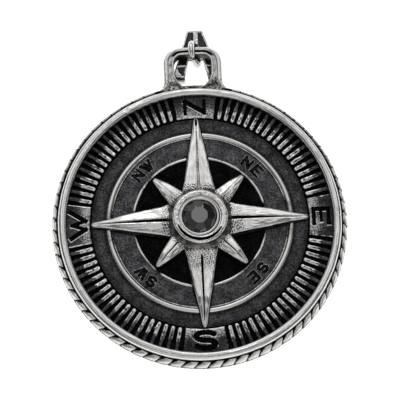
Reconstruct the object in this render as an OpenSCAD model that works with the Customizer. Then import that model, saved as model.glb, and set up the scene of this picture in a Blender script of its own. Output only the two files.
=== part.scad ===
// Compass pendant: a cast round case with a dial in relief and a carrying loop, a raised compass rose
// with a stone in a bezel at its centre, and an oval jump ring that holds a folded, tapered bail.
// It lies on its back: the face looks along +Z, the carrying loop points along +Y, and the origin is
// the centre of the flat back. All sizes are in millimetres.

/* [Case] */
// Diameter over the rope edge
rope_d = 44.5; // [42:0.1:48]
// Height of the rim's crest above the flat back
case_t = 5.8; // [5.6:0.1:7]
// Diameter of the flat back
back_d = 39; // [34:0.5:40]
// Outer diameter of the polished rim
rim_d = 42.7; // [42.1:0.1:42.9]
// Width of the half-round rim
rim_w = 1.3; // [1.1:0.05:1.6]
// Half height of the rope edge
rope_r = 1.35; // [1.2:0.05:1.5]
// Depth of the rope edge's widest line below the rim's crest
rope_drop = 1.95; // [1.8:0.05:2.2]
// Number of lobes round the rope edge
rope_lobes = 72; // [48:4:84]
// Width of the slot between two lobes
rope_slot = 0.34; // [0.25:0.01:0.5]
// Lean of the rope's lobes from the case's axis
rope_lean = 32; // [15:1:40]

/* [Dial] */
// Depth of the tick ring's floor below the rim's crest
tick_floor_drop = 1.65; // [1.5:0.05:1.7]
// Depth of the ticks' tops below the rim's crest
tick_top_drop = 0.85; // [0.7:0.05:0.9]
// Radius at the inner ends of the ticks and letter plates
tick_in_r = 16.55; // [16.5:0.05:16.9]
// Width of one tick
tick_w = 0.64; // [0.5:0.02:0.75]
// Number of ticks in a full circle, counting those under the letter plates
tick_count = 100; // [80:4:104]
// Half angle of a letter plate
plate_half_a = 9.8; // [8.6:0.1:10]
// Depth of the plain band below the rim's crest
band_drop = 1.9; // [1.8:0.05:2]
// Radius of the outer ring's crest
ring_r = 13.78; // [13.6:0.02:14.1]
// Width of the half-round outer ring
ring_w = 0.8; // [0.6:0.05:0.9]
// Depth of the outer ring's crest below the rim's crest
ring_drop = 0.88; // [0.86:0.02:1.0]
// Depth of the letter band below the rim's crest
text_drop = 1.35; // [1.25:0.05:1.5]
// Radius of the inner ring's crest
inner_ring_r = 10.05; // [9.8:0.05:10.4]
// Width of the half-round inner ring
inner_ring_w = 0.5; // [0.4:0.05:0.6]
// Depth of the inner ring's crest below the rim's crest
inner_ring_drop = 1.05; // [1.0:0.05:1.15]
// Depth of the central well below the rim's crest
well_drop = 2.4; // [2:0.1:2.8]
// Radius of the boss that carries the compass rose
boss_r = 3.6; // [3:0.1:4]

/* [Letters] */
// Height of the four large letters
letter_h = 2.75; // [2.4:0.05:2.9]
// Stroke width of the four large letters
letter_stroke = 0.66; // [0.4:0.02:0.7]
// Width of the large letter N
wide_n = 3.4; // [3:0.05:3.6]
// Width of the large letter E
wide_e = 2.9; // [2.5:0.05:3.1]
// Width of the large letter S
wide_s = 3.5; // [3:0.05:3.7]
// Width of the large letter W
wide_w = 4.6; // [4:0.05:4.8]
// Height of the small letters on the letter band
small_h = 1.75; // [1.4:0.05:2]
// Stroke width of the small letters
small_stroke = 0.3; // [0.2:0.02:0.4]
// Depth of all letters
letter_cut = 0.3; // [0.15:0.05:0.4]

/* [Carrying loop] */
// Half width of the carrying loop over its sides
loop_half_w = 4.58; // [4.4:0.02:4.8]
// Distance from the case's centre to the top of the loop
loop_top_y = 28.2; // [27.8:0.1:28.6]
// Radius of the loop's upper corners
loop_corner_r = 2.6; // [2:0.1:3]
// Half width of the loop's opening
hole_half_w = 2.88; // [2.7:0.02:3]
// Radius of the opening's upper corners
hole_corner_r = 1.35; // [1:0.05:1.6]
// Thickness of the loop's top bar, measured along Y
bar_t = 1.2; // [1.1:0.05:1.3]
// Thickness of the loop from back to front
loop_t = 2.1; // [1.9:0.05:2.2]
// Depth of the loop's front face below the rim's crest
loop_drop = 0.4; // [0.35:0.05:0.5]
// Width of the ridge round the loop's outside
outer_ridge_w = 0.7; // [0.5:0.05:0.75]
// Width of the ridge round the loop's opening
inner_ridge_w = 0.3; // [0.2:0.05:0.35]
// Depth of the channel between the loop's ridges
channel_cut = 0.3; // [0.2:0.05:0.5]
// Radius of the fillets between the loop's feet and the case
foot_fillet_r = 1.6; // [1.2:0.1:1.8]

/* [Compass rose] */
// Length of a long arm from the centre
long_arm_r = 16.45; // [16:0.05:16.45]
// Length of a short arm from the centre
short_arm_r = 9.65; // [9.3:0.05:9.8]
// Half width of a long arm where it leaves the hub
long_root_w = 2.45; // [2.2:0.05:2.6]
// Half width of a short arm where it leaves the hub
short_root_w = 1.45; // [1.2:0.05:1.6]
// Thickness of the arms at their edges, at the hub
arm_edge_t = 0.85; // [0.7:0.05:0.95]
// Width of the draft of an arm's side walls, at the hub
arm_draft = 0.3; // [0.1:0.05:0.4]
// Height of a long arm's crest above its edges, at the hub
long_crest_h = 0.3; // [0.2:0.05:0.5]
// Height of a short arm's crest above its edges, at the hub
short_crest_h = 0.25; // [0.2:0.05:0.4]
// Width of the groove along an arm's crest, at the hub
crest_groove_w = 0.46; // [0.3:0.02:0.6]
// Depth of the groove along an arm's crest, at the hub
crest_groove_d = 0.55; // [0.3:0.05:0.65]
// Outer radius of the hub and its half-round ring
hub_r = 4.2; // [4.1:0.05:4.4]
// Height of the hub's ring above the rim's crest
hub_rise = 1.8; // [1.6:0.05:1.9]
// Thickness of the hub under the bezel
hub_floor_t = 1.05; // [0.9:0.05:1.2]
// Width and height of the skirt round the hub's foot
hub_skirt = 1; // [0.8:0.05:1.1]
// Clearance under and round the pieces that are set in one another
seat_gap = 0.05; // [0.03:0.01:0.08]
// Gap between the underside of the rose's arms and the outer ring
arm_gap = 0.12; // [0.1:0.01:0.16]

/* [Stone] */
// Diameter of the stone
stone_d = 5; // [4.8:0.05:5.1]
// Width of the stone's table as a share of its diameter
table_share = 0.48; // [0.44:0.01:0.6]
// Height of the stone's crown
crown_h = 0.72; // [0.6:0.02:0.8]
// Thickness of the stone's girdle
girdle_t = 0.12; // [0.08:0.02:0.2]
// Depth of the stone's pavilion
pavilion_h = 1.85; // [1.5:0.05:1.95]
// Wall of the bezel round the stone
bezel_wall = 0.45; // [0.35:0.05:0.5]
// Depth of the bezel's top below the hub's ring
bezel_drop = 0.35; // [0.25:0.05:0.45]
// Height of the stone's girdle below the bezel's top
girdle_drop = 0.15; // [0.1:0.05:0.2]
// Shift of the bezel from the hub's centre, along +Y and along -X
bezel_shift = 0.1; // [0:0.02:0.14]

/* [Jump ring] */
// Diameter of the jump ring's wire
ring_wire_d = 0.95; // [0.85:0.05:1]
// Clearance between the jump ring and what it passes round
ring_clear = 0.1; // [0.08:0.01:0.12]
// Turn of the jump ring about the Y axis
ring_yaw = 13; // [10:1:14]
// Tilt of the jump ring that lifts its back end
ring_tilt = 4.5; // [3:0.5:5]

/* [Bail] */
// Thickness of the bail's folded band
bail_t = 0.5; // [0.45:0.05:0.6]
// Distance from the case's centre to the bail's narrow end
bail_top_y = 32; // [31.6:0.1:32.4]
// Offset of the bail's middle line from the case's
bail_x = 0.62; // [0.5:0.02:0.7]
// Half width of the bail at its narrow end
bail_end_w = 1.2; // [1.1:0.05:1.4]
// Growth of the bail's half width for each millimetre along it
bail_flare = 0.33; // [0.28:0.01:0.34]
// Half width of the bail's window at its top
window_w = 1.1; // [1:0.05:1.2]
// Clearance between the bail and the loop, the case and the surface that it lies on
bail_clear = 0.25; // [0.2:0.05:0.3]
// Gap between the rope edge and the bail's folded end
bail_foot_gap = 1.35; // [0.5:0.05:1.5]
// Diameter of the bail's eye for the jump ring
eye_d = 1.45; // [1.4:0.05:1.55]
// Depth of the sunk panels in the bail's front
panel_cut = 0.15; // [0.1:0.05:0.2]
// Width of the bail's raised border and middle rib
border_w = 0.38; // [0.3:0.02:0.45]

/* [Hidden] */
$fn = 96;
eps = 0.01;
reach = 60;

// Overlap of shapes that run into each other
weld = 0.1;

// Heights above the flat back
rim_r = rim_d / 2;
rim_mid_r = rim_r - rim_w / 2;
wall_inset = 0.3;
wall_r = rim_r - wall_inset;
bevel_h = 0.9;
band_step = 0.1;
rope_z = case_t - rope_drop;
rope_mid_r = rope_d / 2 - rope_r;
slot_depth = 0.93;
tick_floor_z = case_t - tick_floor_drop;
tick_top_z = case_t - tick_top_drop;
band_z = case_t - band_drop;
text_z = case_t - text_drop;
well_z = case_t - well_drop;
rose_z = case_t - ring_drop + arm_gap;
hub_top_z = case_t + hub_rise;
bezel_top_z = hub_top_z - bezel_drop;
girdle_z = bezel_top_z - girdle_drop;

// Tick pattern: the first tick clears the letter plate by half a groove
tick_pitch = 360 / tick_count;
tick_groove_a = tick_pitch - 2 * asin(tick_w / 2 / tick_in_r);
first_tick = ceil((plate_half_a + tick_groove_a) / tick_pitch + 0.5) * tick_pitch - tick_pitch / 2;
ticks_per_quarter = floor((90 - 2 * first_tick) / tick_pitch + 1.001);
tick_start = 45 - (ticks_per_quarter - 1) * tick_pitch / 2;

// Letters: the thin strokes as a share of the full ones, and where the feet and the middle peak of a W
// stand as shares of its half width and half height
thin_share = 0.75;
w_foot_share = 0.32;
w_peak_share = 0.6;

// Small letters: widths as shares of the height, and the half distance between a pair's middles as a
// share of the height
small_width_share = 0.85;
small_w_share = 1.09;
small_step_share = 0.56;

// Carrying loop
loop_front_z = case_t - loop_drop;
loop_back_z = loop_front_z - loop_t;
hole_top_y = loop_top_y - bar_t;
hole_round_y = rim_r + hole_half_w;
bar_mid_y = loop_top_y - bar_t / 2;
foot_sink = 0.3;
foot_root = 1;
foot_y = sqrt(pow(rope_d / 2, 2) - pow(loop_half_w + foot_fillet_r, 2)) - foot_sink;

// Arms: how far they start inside the hub, and the widest groove as a share of the half width
arm_sink = 0.2;
groove_share = 0.4;

// Hub, bezel and stone
hub_ring_w = 0.92;
hub_well_r = hub_r - hub_ring_w;
stone_r = stone_d / 2;
bezel_in_r = stone_r + seat_gap;
bezel_seat_z = rose_z + hub_floor_t;
pavilion_bore_r = 2.3;
seat_w = 0.3;
seat_slope_share = 1.2;
bezel_at = [-bezel_shift, bezel_shift, 0];

// Facets of the stone: half a facet's angle in rings of eight and of sixteen, and how far from the axis
// they start and end, as shares of the flats' radius or of the table's
eighth_half_a = 22.5;
sixteenth_half_a = 11.25;
main_start_share = 1.07;
star_start_share = 1.22;
star_end_share = 1.04;
upper_end_share = 1.35;
lower_start_share = 1.05;
culet_r = 0.1;
lower_end_r = 0.5;

// Bail: the near leaf lies behind the loop, the far leaf just above the surface
bail_front_z = loop_back_z - bail_clear;
bail_fold_r = (bail_front_z - bail_clear) / 2;
bail_low_y = rope_d / 2 + bail_foot_gap;
bail_fold_y = bail_low_y + bail_fold_r;
bail_plate_t = 2 * bail_t;
bail_back_z = bail_front_z - 2 * bail_fold_r;
crossbar_half = 0.5;
leaf_slope = 1.7;
ring_overlap = 0.3;
ring_offset = 0.15;
top_border_share = 1.5;

// Jump ring: an oval whose long axis runs from in front of the loop's bar to behind the bail's plate.
// Its tilt takes some of the room on either side of the bar, and its round end clears the bar's corners
tilt_room = loop_t / 2 * tan(ring_tilt);
ring_inner_h = bar_t / 2 + tilt_room + ring_clear;
ring_mid_r = ring_inner_h + ring_wire_d / 2;
bar_corner = sqrt(pow(ring_inner_h - ring_clear / 2, 2) - pow(bar_t / 2 + tilt_room, 2));
ring_front_z = loop_front_z - bar_corner;
ring_back_z = bail_front_z - bail_plate_t + ring_overlap;
ring_mid_z = (ring_front_z + ring_back_z) / 2;
bar_mid_z = (loop_front_z + loop_back_z) / 2;
plate_mid_z = bail_front_z - bail_plate_t / 2;
ring_at_y = bar_mid_y + (bar_mid_z - ring_mid_z) * tan(ring_tilt);
ring_at_x = bail_x - ring_offset;
eye_x = ring_at_x + (ring_mid_z - plate_mid_z) * tan(ring_yaw);
crossbar_y = ring_at_y + (ring_mid_z - plate_mid_z) * tan(ring_tilt);
eye_y = crossbar_y + ring_mid_r;
window_top_y = crossbar_y - crossbar_half;
pinch_y = window_top_y - eps;
open_y = pinch_y - leaf_slope;

// Sections of an arm: share of the length from hub to tip, share of the root's half width and draft,
// share of the edges' and the crest's height
ARM = [
    [0.00, 1.00, 1.00],
    [0.19, 0.87, 0.98],
    [0.65, 0.43, 0.80],
    [0.96, 0.15, 0.32],
    [1.00, 0.04, 0.24]
];

// A straight stroke from p to q
module bar(p, q, w) {
    d = q - p;
    translate(p)
        rotate(atan2(d[1], d[0]))
            translate([-w / 2, -w / 2])
                square([norm(d) + w, w]);
}

// Width of a small letter as a share of its height
function width_share(name) = name == "W" ? small_w_share : small_width_share;

// Middle line of the letter S in a box of half width a and half height b, as two half circles with
// straight runs and short hooks
function s_path(a, b) =
    let (r = b / 2, c = a - r)
        concat(
            [for (t = [10:20:70]) [c + r * cos(t), r + r * sin(t)]],
            [for (t = [90:20:270]) [r * cos(t) - c, r + r * sin(t)]],
            [for (t = [90:-20:-90]) [c + r * cos(t), r * sin(t) - r]],
            [for (t = [-110:-20:-170]) [r * cos(t) - c, r * sin(t) - r]]
        );

// Outline of a stroke of width w along a path
function side_of(path, w, k) = [
    for (i = [0:len(path) - 1])
        let (p = path[max(i - 1, 0)], q = path[min(i + 1, len(path) - 1)], d = (q - p) / norm(q - p))
            path[i] + k * w / 2 * [-d[1], d[0]]
];
function reversed(v) = [for (i = [len(v) - 1:-1:0]) v[i]];

// Each letter fills a box of width w and height h with strokes of width s
module letter_n(w, h, s) {
    thin = thin_share * s;
    a = w / 2 - thin / 2;
    b = h / 2 - thin / 2;
    for (k = [-1, 1])
        bar([k * a, -b], [k * a, b], thin);
    bar([-a, h / 2 - s / 2], [a, s / 2 - h / 2], s);
}

module letter_e(w, h, s) {
    thin = thin_share * s;
    a = w / 2 - s / 2;
    b = h / 2 - thin / 2;
    bar([-a, s / 2 - h / 2], [-a, h / 2 - s / 2], s);
    for (k = [-1:1])
        bar([-a, k * b], [w / 2 - thin / 2 - (k == 0 ? s / 2 : 0), k * b], thin);
}

module letter_s(w, h, s) {
    path = s_path(w / 2 - s / 2, h / 2 - s / 2);
    polygon(concat(side_of(path, s, 1), reversed(side_of(path, s, -1))));
}

module letter_w(w, h, s) {
    a = w / 2 - s / 2;
    b = h / 2 - s / 2;
    foot = w_foot_share * a;
    for (k = [-1, 1]) {
        bar([k * a, b], [k * foot, -b], s);
        bar([k * foot, -b], [0, w_peak_share * b], thin_share * s);
    }
}

module letter(name, w, h, s) {
    if (name == "N") letter_n(w, h, s);
    if (name == "E") letter_e(w, h, s);
    if (name == "S") letter_s(w, h, s);
    if (name == "W") letter_w(w, h, s);
}

// Body of revolution of the case, without the parts that repeat
module case_body() {
    rotate_extrude()
        polygon([
            [0, 0],
            [back_d / 2, 0],
            [wall_r, bevel_h],
            [wall_r, rope_z],
            [rim_r, rope_z],
            [rim_r, case_t - rim_w / 2],
            [rim_r - rim_w, case_t - rim_w / 2],
            [rim_r - rim_w, tick_floor_z],
            [tick_in_r - band_step, tick_floor_z],
            [tick_in_r - 3 * band_step, band_z],
            [ring_r + ring_w / 2, band_z],
            [ring_r + ring_w / 2, text_z],
            [inner_ring_r - inner_ring_w / 2, text_z],
            [inner_ring_r - inner_ring_w / 2, well_z],
            [boss_r, well_z],
            [boss_r, rose_z - seat_gap],
            [0, rose_z - seat_gap]
        ]);
}

// A half-round ring that stands on the dial
module round_ring(r, w, crest_z, foot_z) {
    rotate_extrude() {
        translate([r, crest_z - w / 2])
            circle(d = w);
        translate([r - w / 2, foot_z - eps])
            square([w, crest_z - w / 2 - foot_z + eps]);
    }
}

module rope_edge() {
    difference() {
        rotate_extrude()
            translate([rope_mid_r, rope_z])
                circle(r = rope_r);
        translate([0, 0, rope_z - 2 * rope_r])
            cylinder(r = wall_r - foot_sink, h = 4 * rope_r);
        for (i = [0:rope_lobes - 1])
            rotate((i + 0.5) * 360 / rope_lobes)
                translate([rope_d / 2 - slot_depth, 0, rope_z])
                    rotate([-rope_lean, 0, 0])
                        translate([0, -rope_slot / 2, -2 * rope_r])
                            cube([2 * rope_r, rope_slot, 4 * rope_r]);
    }
}

module tick_outline() {
    translate([tick_in_r + tick_w / 2, 0])
        circle(d = tick_w);
    translate([tick_in_r + tick_w / 2, -tick_w / 2])
        square([rim_r - rim_w - tick_in_r - tick_w / 2 + weld, tick_w]);
}

module ticks() {
    translate([0, 0, tick_floor_z - eps])
        linear_extrude(tick_top_z - tick_floor_z + eps)
            for (quarter = [0:3])
                for (i = [0:ticks_per_quarter - 1])
                    rotate(quarter * 90 + tick_start + i * tick_pitch)
                        tick_outline();
}

// One letter plate on the +Y side, as a sector between the plain band and the rim
module plate() {
    r = rim_r - rim_w + weld;
    translate([0, 0, tick_floor_z - eps])
        linear_extrude(tick_top_z - tick_floor_z + eps)
            intersection() {
                difference() {
                    circle(r = r);
                    circle(r = tick_in_r);
                }
                polygon([
                    [0, 0],
                    [reach * sin(plate_half_a), reach * cos(plate_half_a)],
                    [-reach * sin(plate_half_a), reach * cos(plate_half_a)]
                ]);
            }
}

module large_letters() {
    mid_r = (tick_in_r + rim_r - rim_w) / 2;
    names = ["N", "E", "S", "W"];
    widths = [wide_n, wide_e, wide_s, wide_w];
    for (i = [0:3])
        rotate(-90 * i)
            translate([0, mid_r, tick_top_z - letter_cut])
                linear_extrude(2)
                    letter(names[i], widths[i], letter_h, letter_stroke);
}

module small_letters() {
    mid_r = (ring_r - ring_w / 2 + inner_ring_r + inner_ring_w / 2) / 2;
    step = small_h * small_step_share;
    pairs = [["N", "E"], ["S", "E"], ["S", "W"], ["N", "W"]];
    for (i = [0:3])
        for (k = [0:1])
            rotate(-45 - 90 * i + (0.5 - k) * 2 * atan(step / mid_r))
                translate([0, mid_r, text_z - letter_cut])
                    linear_extrude(2)
                        letter(pairs[i][k], width_share(pairs[i][k]) * small_h, small_h, small_stroke);
}

// Outline of the loop's outside, moved inwards by d
module loop_outline(d) {
    w = loop_half_w - d;
    r = loop_corner_r - d;
    top = loop_top_y - d;
    translate([-w, 0])
        square([2 * w, top - r]);
    translate([-w + r, 0])
        square([2 * (w - r), top]);
    for (k = [-1, 1])
        translate([k * (w - r), top - r])
            circle(r = r);
}

// Outline of the loop's opening, moved outwards by d
module hole_outline(d) {
    w = hole_half_w + d;
    r = hole_corner_r + d;
    top = hole_top_y + d;
    translate([0, hole_round_y])
        circle(r = w);
    translate([-w, hole_round_y])
        square([2 * w, top - r - hole_round_y]);
    translate([-w + r, hole_round_y])
        square([2 * (w - r), top - hole_round_y]);
    for (k = [-1, 1])
        translate([k * (w - r), top - r])
            circle(r = r);
}

module foot_fillets() {
    for (k = [-1, 1])
        difference() {
            translate([k > 0 ? loop_half_w - weld : -loop_half_w - foot_fillet_r, foot_y - foot_root])
                square([foot_fillet_r + weld, foot_fillet_r + foot_root]);
            translate([k * (loop_half_w + foot_fillet_r), foot_y + foot_fillet_r])
                circle(r = foot_fillet_r);
        }
}

// The loop's solid runs from inside the case's wall to the top bar
module loop_solid() {
    translate([0, 0, loop_back_z])
        linear_extrude(loop_t)
            difference() {
                union() {
                    loop_outline(0);
                    foot_fillets();
                }
                circle(r = rim_mid_r);
            }
}

module loop_channel() {
    translate([0, 0, loop_front_z - channel_cut])
        linear_extrude(1)
            difference() {
                intersection() {
                    loop_outline(outer_ridge_w);
                    translate([-reach, rope_d / 2 + weld])
                        square([2 * reach, reach]);
                }
                hole_outline(inner_ridge_w);
            }
}

module loop_hole() {
    difference() {
        translate([0, 0, loop_back_z - 2])
            linear_extrude(loop_t + 4)
                hole_outline(0);
        cylinder(r = rim_r, h = case_t + 2);
    }
}

module compass_case() {
    color("dimgray")
        difference() {
            union() {
                case_body();
                round_ring(rim_mid_r, rim_w, case_t, tick_floor_z);
                round_ring(ring_r, ring_w, case_t - ring_drop, band_z);
                round_ring(inner_ring_r, inner_ring_w, case_t - inner_ring_drop, well_z);
                rope_edge();
                ticks();
                for (i = [0:3])
                    rotate(90 * i)
                        plate();
                loop_solid();
            }
            large_letters();
            small_letters();
            loop_channel();
            loop_hole();
        }
}

// One arm along +Y as a roof with a groove along its crest, from inside the hub to the tip
module arm(length, root_w, crest_h) {
    n = len(ARM);
    start = hub_well_r + arm_sink;
    rows = [
        for (s = ARM)
            let (
                y = start + s[0] * (length - start),
                w = s[1] * root_w,
                foot = w + s[1] * arm_draft,
                edge = s[2] * arm_edge_t,
                top = edge + s[2] * crest_h,
                g = min(s[1] * crest_groove_w / 2, w * groove_share)
            )
            [[-foot, y, 0], [foot, y, 0], [w, y, edge], [g, y, top],
             [0, y, top - s[1] * crest_groove_d], [-g, y, top], [-w, y, edge]]
    ];
    points = [for (r = rows) for (p = r) p];
    m = 7;
    sides = [
        for (i = [0:n - 2])
            for (j = [0:m - 1])
                let (a = i * m + j, b = i * m + (j + 1) % m)
                    each [[a, b, b + m], [a, b + m, a + m]]
    ];
    near = [for (j = [m - 1:-1:0]) j];
    far = [for (j = [0:m - 1]) (n - 1) * m + j];
    translate([0, 0, rose_z])
        mirror([1, 0, 0])
            polyhedron(points, concat([near], sides, [far]));
}

module compass_rose() {
    color("silver")
        difference() {
            union() {
                for (i = [0:3]) {
                    rotate(90 * i)
                        arm(long_arm_r, long_root_w, long_crest_h);
                    rotate(90 * i + 45)
                        arm(short_arm_r, short_root_w, short_crest_h);
                }
                translate([0, 0, rose_z])
                    cylinder(r = hub_r, h = hub_top_z - hub_ring_w / 2 - rose_z);
                translate([0, 0, rose_z])
                    cylinder(r1 = hub_r + hub_skirt, r2 = hub_r, h = hub_skirt);
                round_ring(hub_r - hub_ring_w / 2, hub_ring_w, hub_top_z, rose_z + eps);
            }
            translate([0, 0, bezel_seat_z])
                cylinder(r = hub_well_r, h = reach);
            translate([0, 0, rose_z - 1])
                cylinder(r = pavilion_bore_r, h = reach);
        }
}

// A tube with a rounded top and a sloping seat inside, under the stone's girdle
module stone_bezel() {
    low_z = bezel_seat_z + seat_gap;
    seat_z = girdle_z - girdle_t - seat_gap;
    color("silver")
        translate(bezel_at)
            rotate_extrude() {
                translate([bezel_in_r, low_z])
                    square([bezel_wall, bezel_top_z - bezel_wall / 2 - low_z]);
                translate([bezel_in_r + bezel_wall / 2, bezel_top_z - bezel_wall / 2])
                    circle(d = bezel_wall);
                polygon([
                    [bezel_in_r - seat_w, low_z],
                    [bezel_in_r + eps, low_z],
                    [bezel_in_r + eps, seat_z],
                    [bezel_in_r, seat_z],
                    [bezel_in_r - seat_w, seat_z - seat_slope_share * seat_w * pavilion_h / stone_r]
                ]);
            }
}

// A pyramid of eight facets: girdle_r and r are the distances of its flats from the axis, at height 0
// and at height h
module facets(h, girdle_r, r, turn) {
    rotate(turn + eighth_half_a)
        cylinder(
            r1 = girdle_r / cos(eighth_half_a), r2 = r / cos(eighth_half_a), h = h, $fn = 8
        );
}

// A round stone: main, star and girdle facets round an eight-sided table, a girdle of sixteen flats
// and a pavilion that ends in a small culet
module black_stone() {
    a = sixteenth_half_a;
    flat_r = stone_r * cos(a);
    table_r = stone_r * table_share;
    color("black")
        translate(bezel_at + [0, 0, girdle_z]) {
            intersection() {
                facets(crown_h, flat_r * main_start_share, table_r, 0);
                facets(crown_h, flat_r * star_start_share, table_r * star_end_share, 2 * a);
                facets(crown_h, flat_r, table_r * upper_end_share, a);
                facets(crown_h, flat_r, table_r * upper_end_share, -a);
            }
            translate([0, 0, -girdle_t])
                intersection() {
                    facets(girdle_t + eps, flat_r, flat_r, a);
                    facets(girdle_t + eps, flat_r, flat_r, -a);
                }
            translate([0, 0, -girdle_t])
                mirror([0, 0, 1])
                    intersection() {
                        facets(pavilion_h, flat_r * lower_start_share, culet_r, 0);
                        facets(pavilion_h, flat_r, lower_end_r, a);
                        facets(pavilion_h, flat_r, lower_end_r, -a);
                    }
        }
}

module ring_end() {
    rotate([90, 0, 90])
        rotate_extrude(angle = 180)
            translate([ring_mid_r, 0])
                circle(d = ring_wire_d, $fn = 48);
}

module jump_ring() {
    half = (ring_front_z - ring_back_z) / 2;
    color("silver")
        translate([ring_at_x, ring_at_y, ring_mid_z])
            rotate([ring_tilt, -ring_yaw, 0]) {
                translate([0, 0, half])
                    ring_end();
                translate([0, 0, -half])
                    mirror([0, 0, 1])
                        ring_end();
                for (k = [-1, 1])
                    translate([0, k * ring_mid_r, -half])
                        cylinder(d = ring_wire_d, h = 2 * half, $fn = 48);
            }
}

// Half width of the bail's outline at the distance y from the case's centre: it grows down to the fold
function bail_w(y) = bail_end_w + bail_flare * (bail_top_y - max(y, bail_fold_y));

// Side view of the bail in the plane of Y and Z: two leaves joined at the top and folded at the bottom
module bail_side() {
    difference() {
        union() {
            polygon([
                [bail_top_y, bail_front_z],
                [bail_fold_y, bail_front_z],
                [bail_fold_y, bail_back_z],
                [open_y, bail_back_z],
                [pinch_y, bail_front_z - bail_plate_t],
                [bail_top_y, bail_front_z - bail_plate_t]
            ]);
            translate([bail_fold_y, bail_front_z - bail_fold_r])
                circle(r = bail_fold_r);
        }
        polygon([
            [bail_fold_y, bail_front_z - bail_t],
            [bail_fold_y, bail_back_z + bail_t],
            [open_y - bail_t / 2, bail_back_z + bail_t],
            [pinch_y - bail_t / 2, bail_front_z - bail_plate_t],
            [pinch_y - bail_t / 2, bail_front_z - bail_t]
        ]);
        translate([bail_fold_y, bail_front_z - bail_fold_r])
            circle(r = bail_fold_r - bail_t);
    }
}

// Front view of the bail: a tapered plate with an eye, and two rails that spread round a window
module bail_front() {
    low_y = bail_low_y - 1;
    wide = bail_w(low_y);
    window_wide = window_w + bail_flare * (window_top_y - bail_fold_y);
    difference() {
        polygon([
            [-bail_end_w, bail_top_y],
            [bail_end_w, bail_top_y],
            [wide, bail_fold_y],
            [wide, low_y],
            [-wide, low_y],
            [-wide, bail_fold_y]
        ]);
        polygon([
            [-window_w, window_top_y],
            [window_w, window_top_y],
            [window_wide, bail_fold_y],
            [window_wide, low_y - 1],
            [-window_wide, low_y - 1],
            [-window_wide, bail_fold_y]
        ]);
        translate([eye_x - bail_x, eye_y])
            circle(d = eye_d);
    }
}

// Two sunk panels in the front of the plate, between the raised border and the middle rib
module bail_panels() {
    low_y = window_top_y + border_w;
    high_y = bail_top_y - top_border_share * border_w;
    rib_x = eye_x - bail_x;
    for (k = [-1, 1])
        polygon([
            [k * (bail_w(low_y) - border_w), low_y],
            [rib_x + k * border_w, low_y],
            [rib_x + k * border_w, high_y],
            [k * (bail_w(high_y) - border_w), high_y]
        ]);
}

module bail() {
    color("gainsboro")
        translate([bail_x, 0, 0])
            difference() {
                intersection() {
                    linear_extrude(reach)
                        bail_front();
                    rotate([90, 0, 90])
                        translate([0, 0, -reach / 2])
                            linear_extrude(reach)
                                bail_side();
                }
                translate([0, 0, bail_front_z - panel_cut])
                    linear_extrude(1)
                        bail_panels();
            }
}

compass_case();
compass_rose();
stone_bezel();
black_stone();
jump_ring();
bail();
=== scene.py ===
"""Compass pendant of cast steel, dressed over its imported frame.

The case is one casting, blackened all over and then polished back on its high parts. Each class below
builds one sub-assembly from its sizes in millimetres, measured from the frame where the frame has them.
"""

import logging
import math
from dataclasses import dataclass, field
from enum import Enum
from typing import Any, Iterable, Sequence

import bpy
import numpy as np
from mathutils import Matrix, Vector


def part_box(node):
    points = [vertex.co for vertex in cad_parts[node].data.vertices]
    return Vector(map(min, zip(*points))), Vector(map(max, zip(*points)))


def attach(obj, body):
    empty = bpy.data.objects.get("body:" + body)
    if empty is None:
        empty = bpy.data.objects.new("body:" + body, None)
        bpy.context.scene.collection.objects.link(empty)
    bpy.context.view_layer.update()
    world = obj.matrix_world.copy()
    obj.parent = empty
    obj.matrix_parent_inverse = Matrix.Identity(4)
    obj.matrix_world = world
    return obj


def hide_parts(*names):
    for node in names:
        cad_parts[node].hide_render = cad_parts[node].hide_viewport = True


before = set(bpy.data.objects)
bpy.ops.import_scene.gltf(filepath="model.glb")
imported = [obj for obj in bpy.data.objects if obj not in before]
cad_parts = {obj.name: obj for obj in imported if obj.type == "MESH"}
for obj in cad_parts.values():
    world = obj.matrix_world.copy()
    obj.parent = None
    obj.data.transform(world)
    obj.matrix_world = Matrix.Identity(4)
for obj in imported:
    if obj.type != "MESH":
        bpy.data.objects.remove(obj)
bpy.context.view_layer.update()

LOG = logging.getLogger("compass_pendant")
MM = 0.001
TAU = 2.0 * math.pi


def box_mm(node: str) -> tuple[np.ndarray, np.ndarray]:
    """Gives a frame node's lowest and highest corners in millimetres.

    Args:
        node: Name of the node in the frame.

    Returns:
        The lowest and the highest corner.
    """
    low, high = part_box(node)
    return np.array(low) / MM, np.array(high) / MM


CASE_LOW, CASE_HIGH = box_mm("compass_case")
ROSE_LOW, ROSE_HIGH = box_mm("compass_rose")
BEZEL_LOW, BEZEL_HIGH = box_mm("stone_bezel")
RING_LOW, RING_HIGH = box_mm("jump_ring")
BAIL_LOW, BAIL_HIGH = box_mm("bail")
RIM_TOP = float(CASE_HIGH[2])
ROPE_R = float(CASE_HIGH[0])
LOOP_TOP = float(CASE_HIGH[1])


def linear(code: str) -> tuple[float, float, float, float]:
    """Turns an sRGB hex colour into linear light.

    Args:
        code: Colour such as "#c8c8ca".

    Returns:
        Red, green, blue and an alpha of 1.
    """
    parts = [int(code[i:i + 2], 16) / 255 for i in (1, 3, 5)]
    light = [p / 12.92 if p <= 0.04045 else ((p + 0.055) / 1.055) ** 2.4 for p in parts]
    return light[0], light[1], light[2], 1.0


def per_mm(feature: float) -> float:
    """Gives the scale at which a pattern's features are this many millimetres wide."""
    return 1.0 / (feature * MM)


def ramp(value: Any, start: float, end: float) -> Any:
    """Rises smoothly from 0 at start to 1 at end.

    Args:
        value: Number or array to look up.
        start: Where the rise starts.
        end: Where the rise ends, which may be below start.

    Returns:
        The height of the ramp, from 0 to 1.
    """
    share = np.clip((value - start) / (end - start), 0.0, 1.0)
    return share * share * (3.0 - 2.0 * share)


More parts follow.
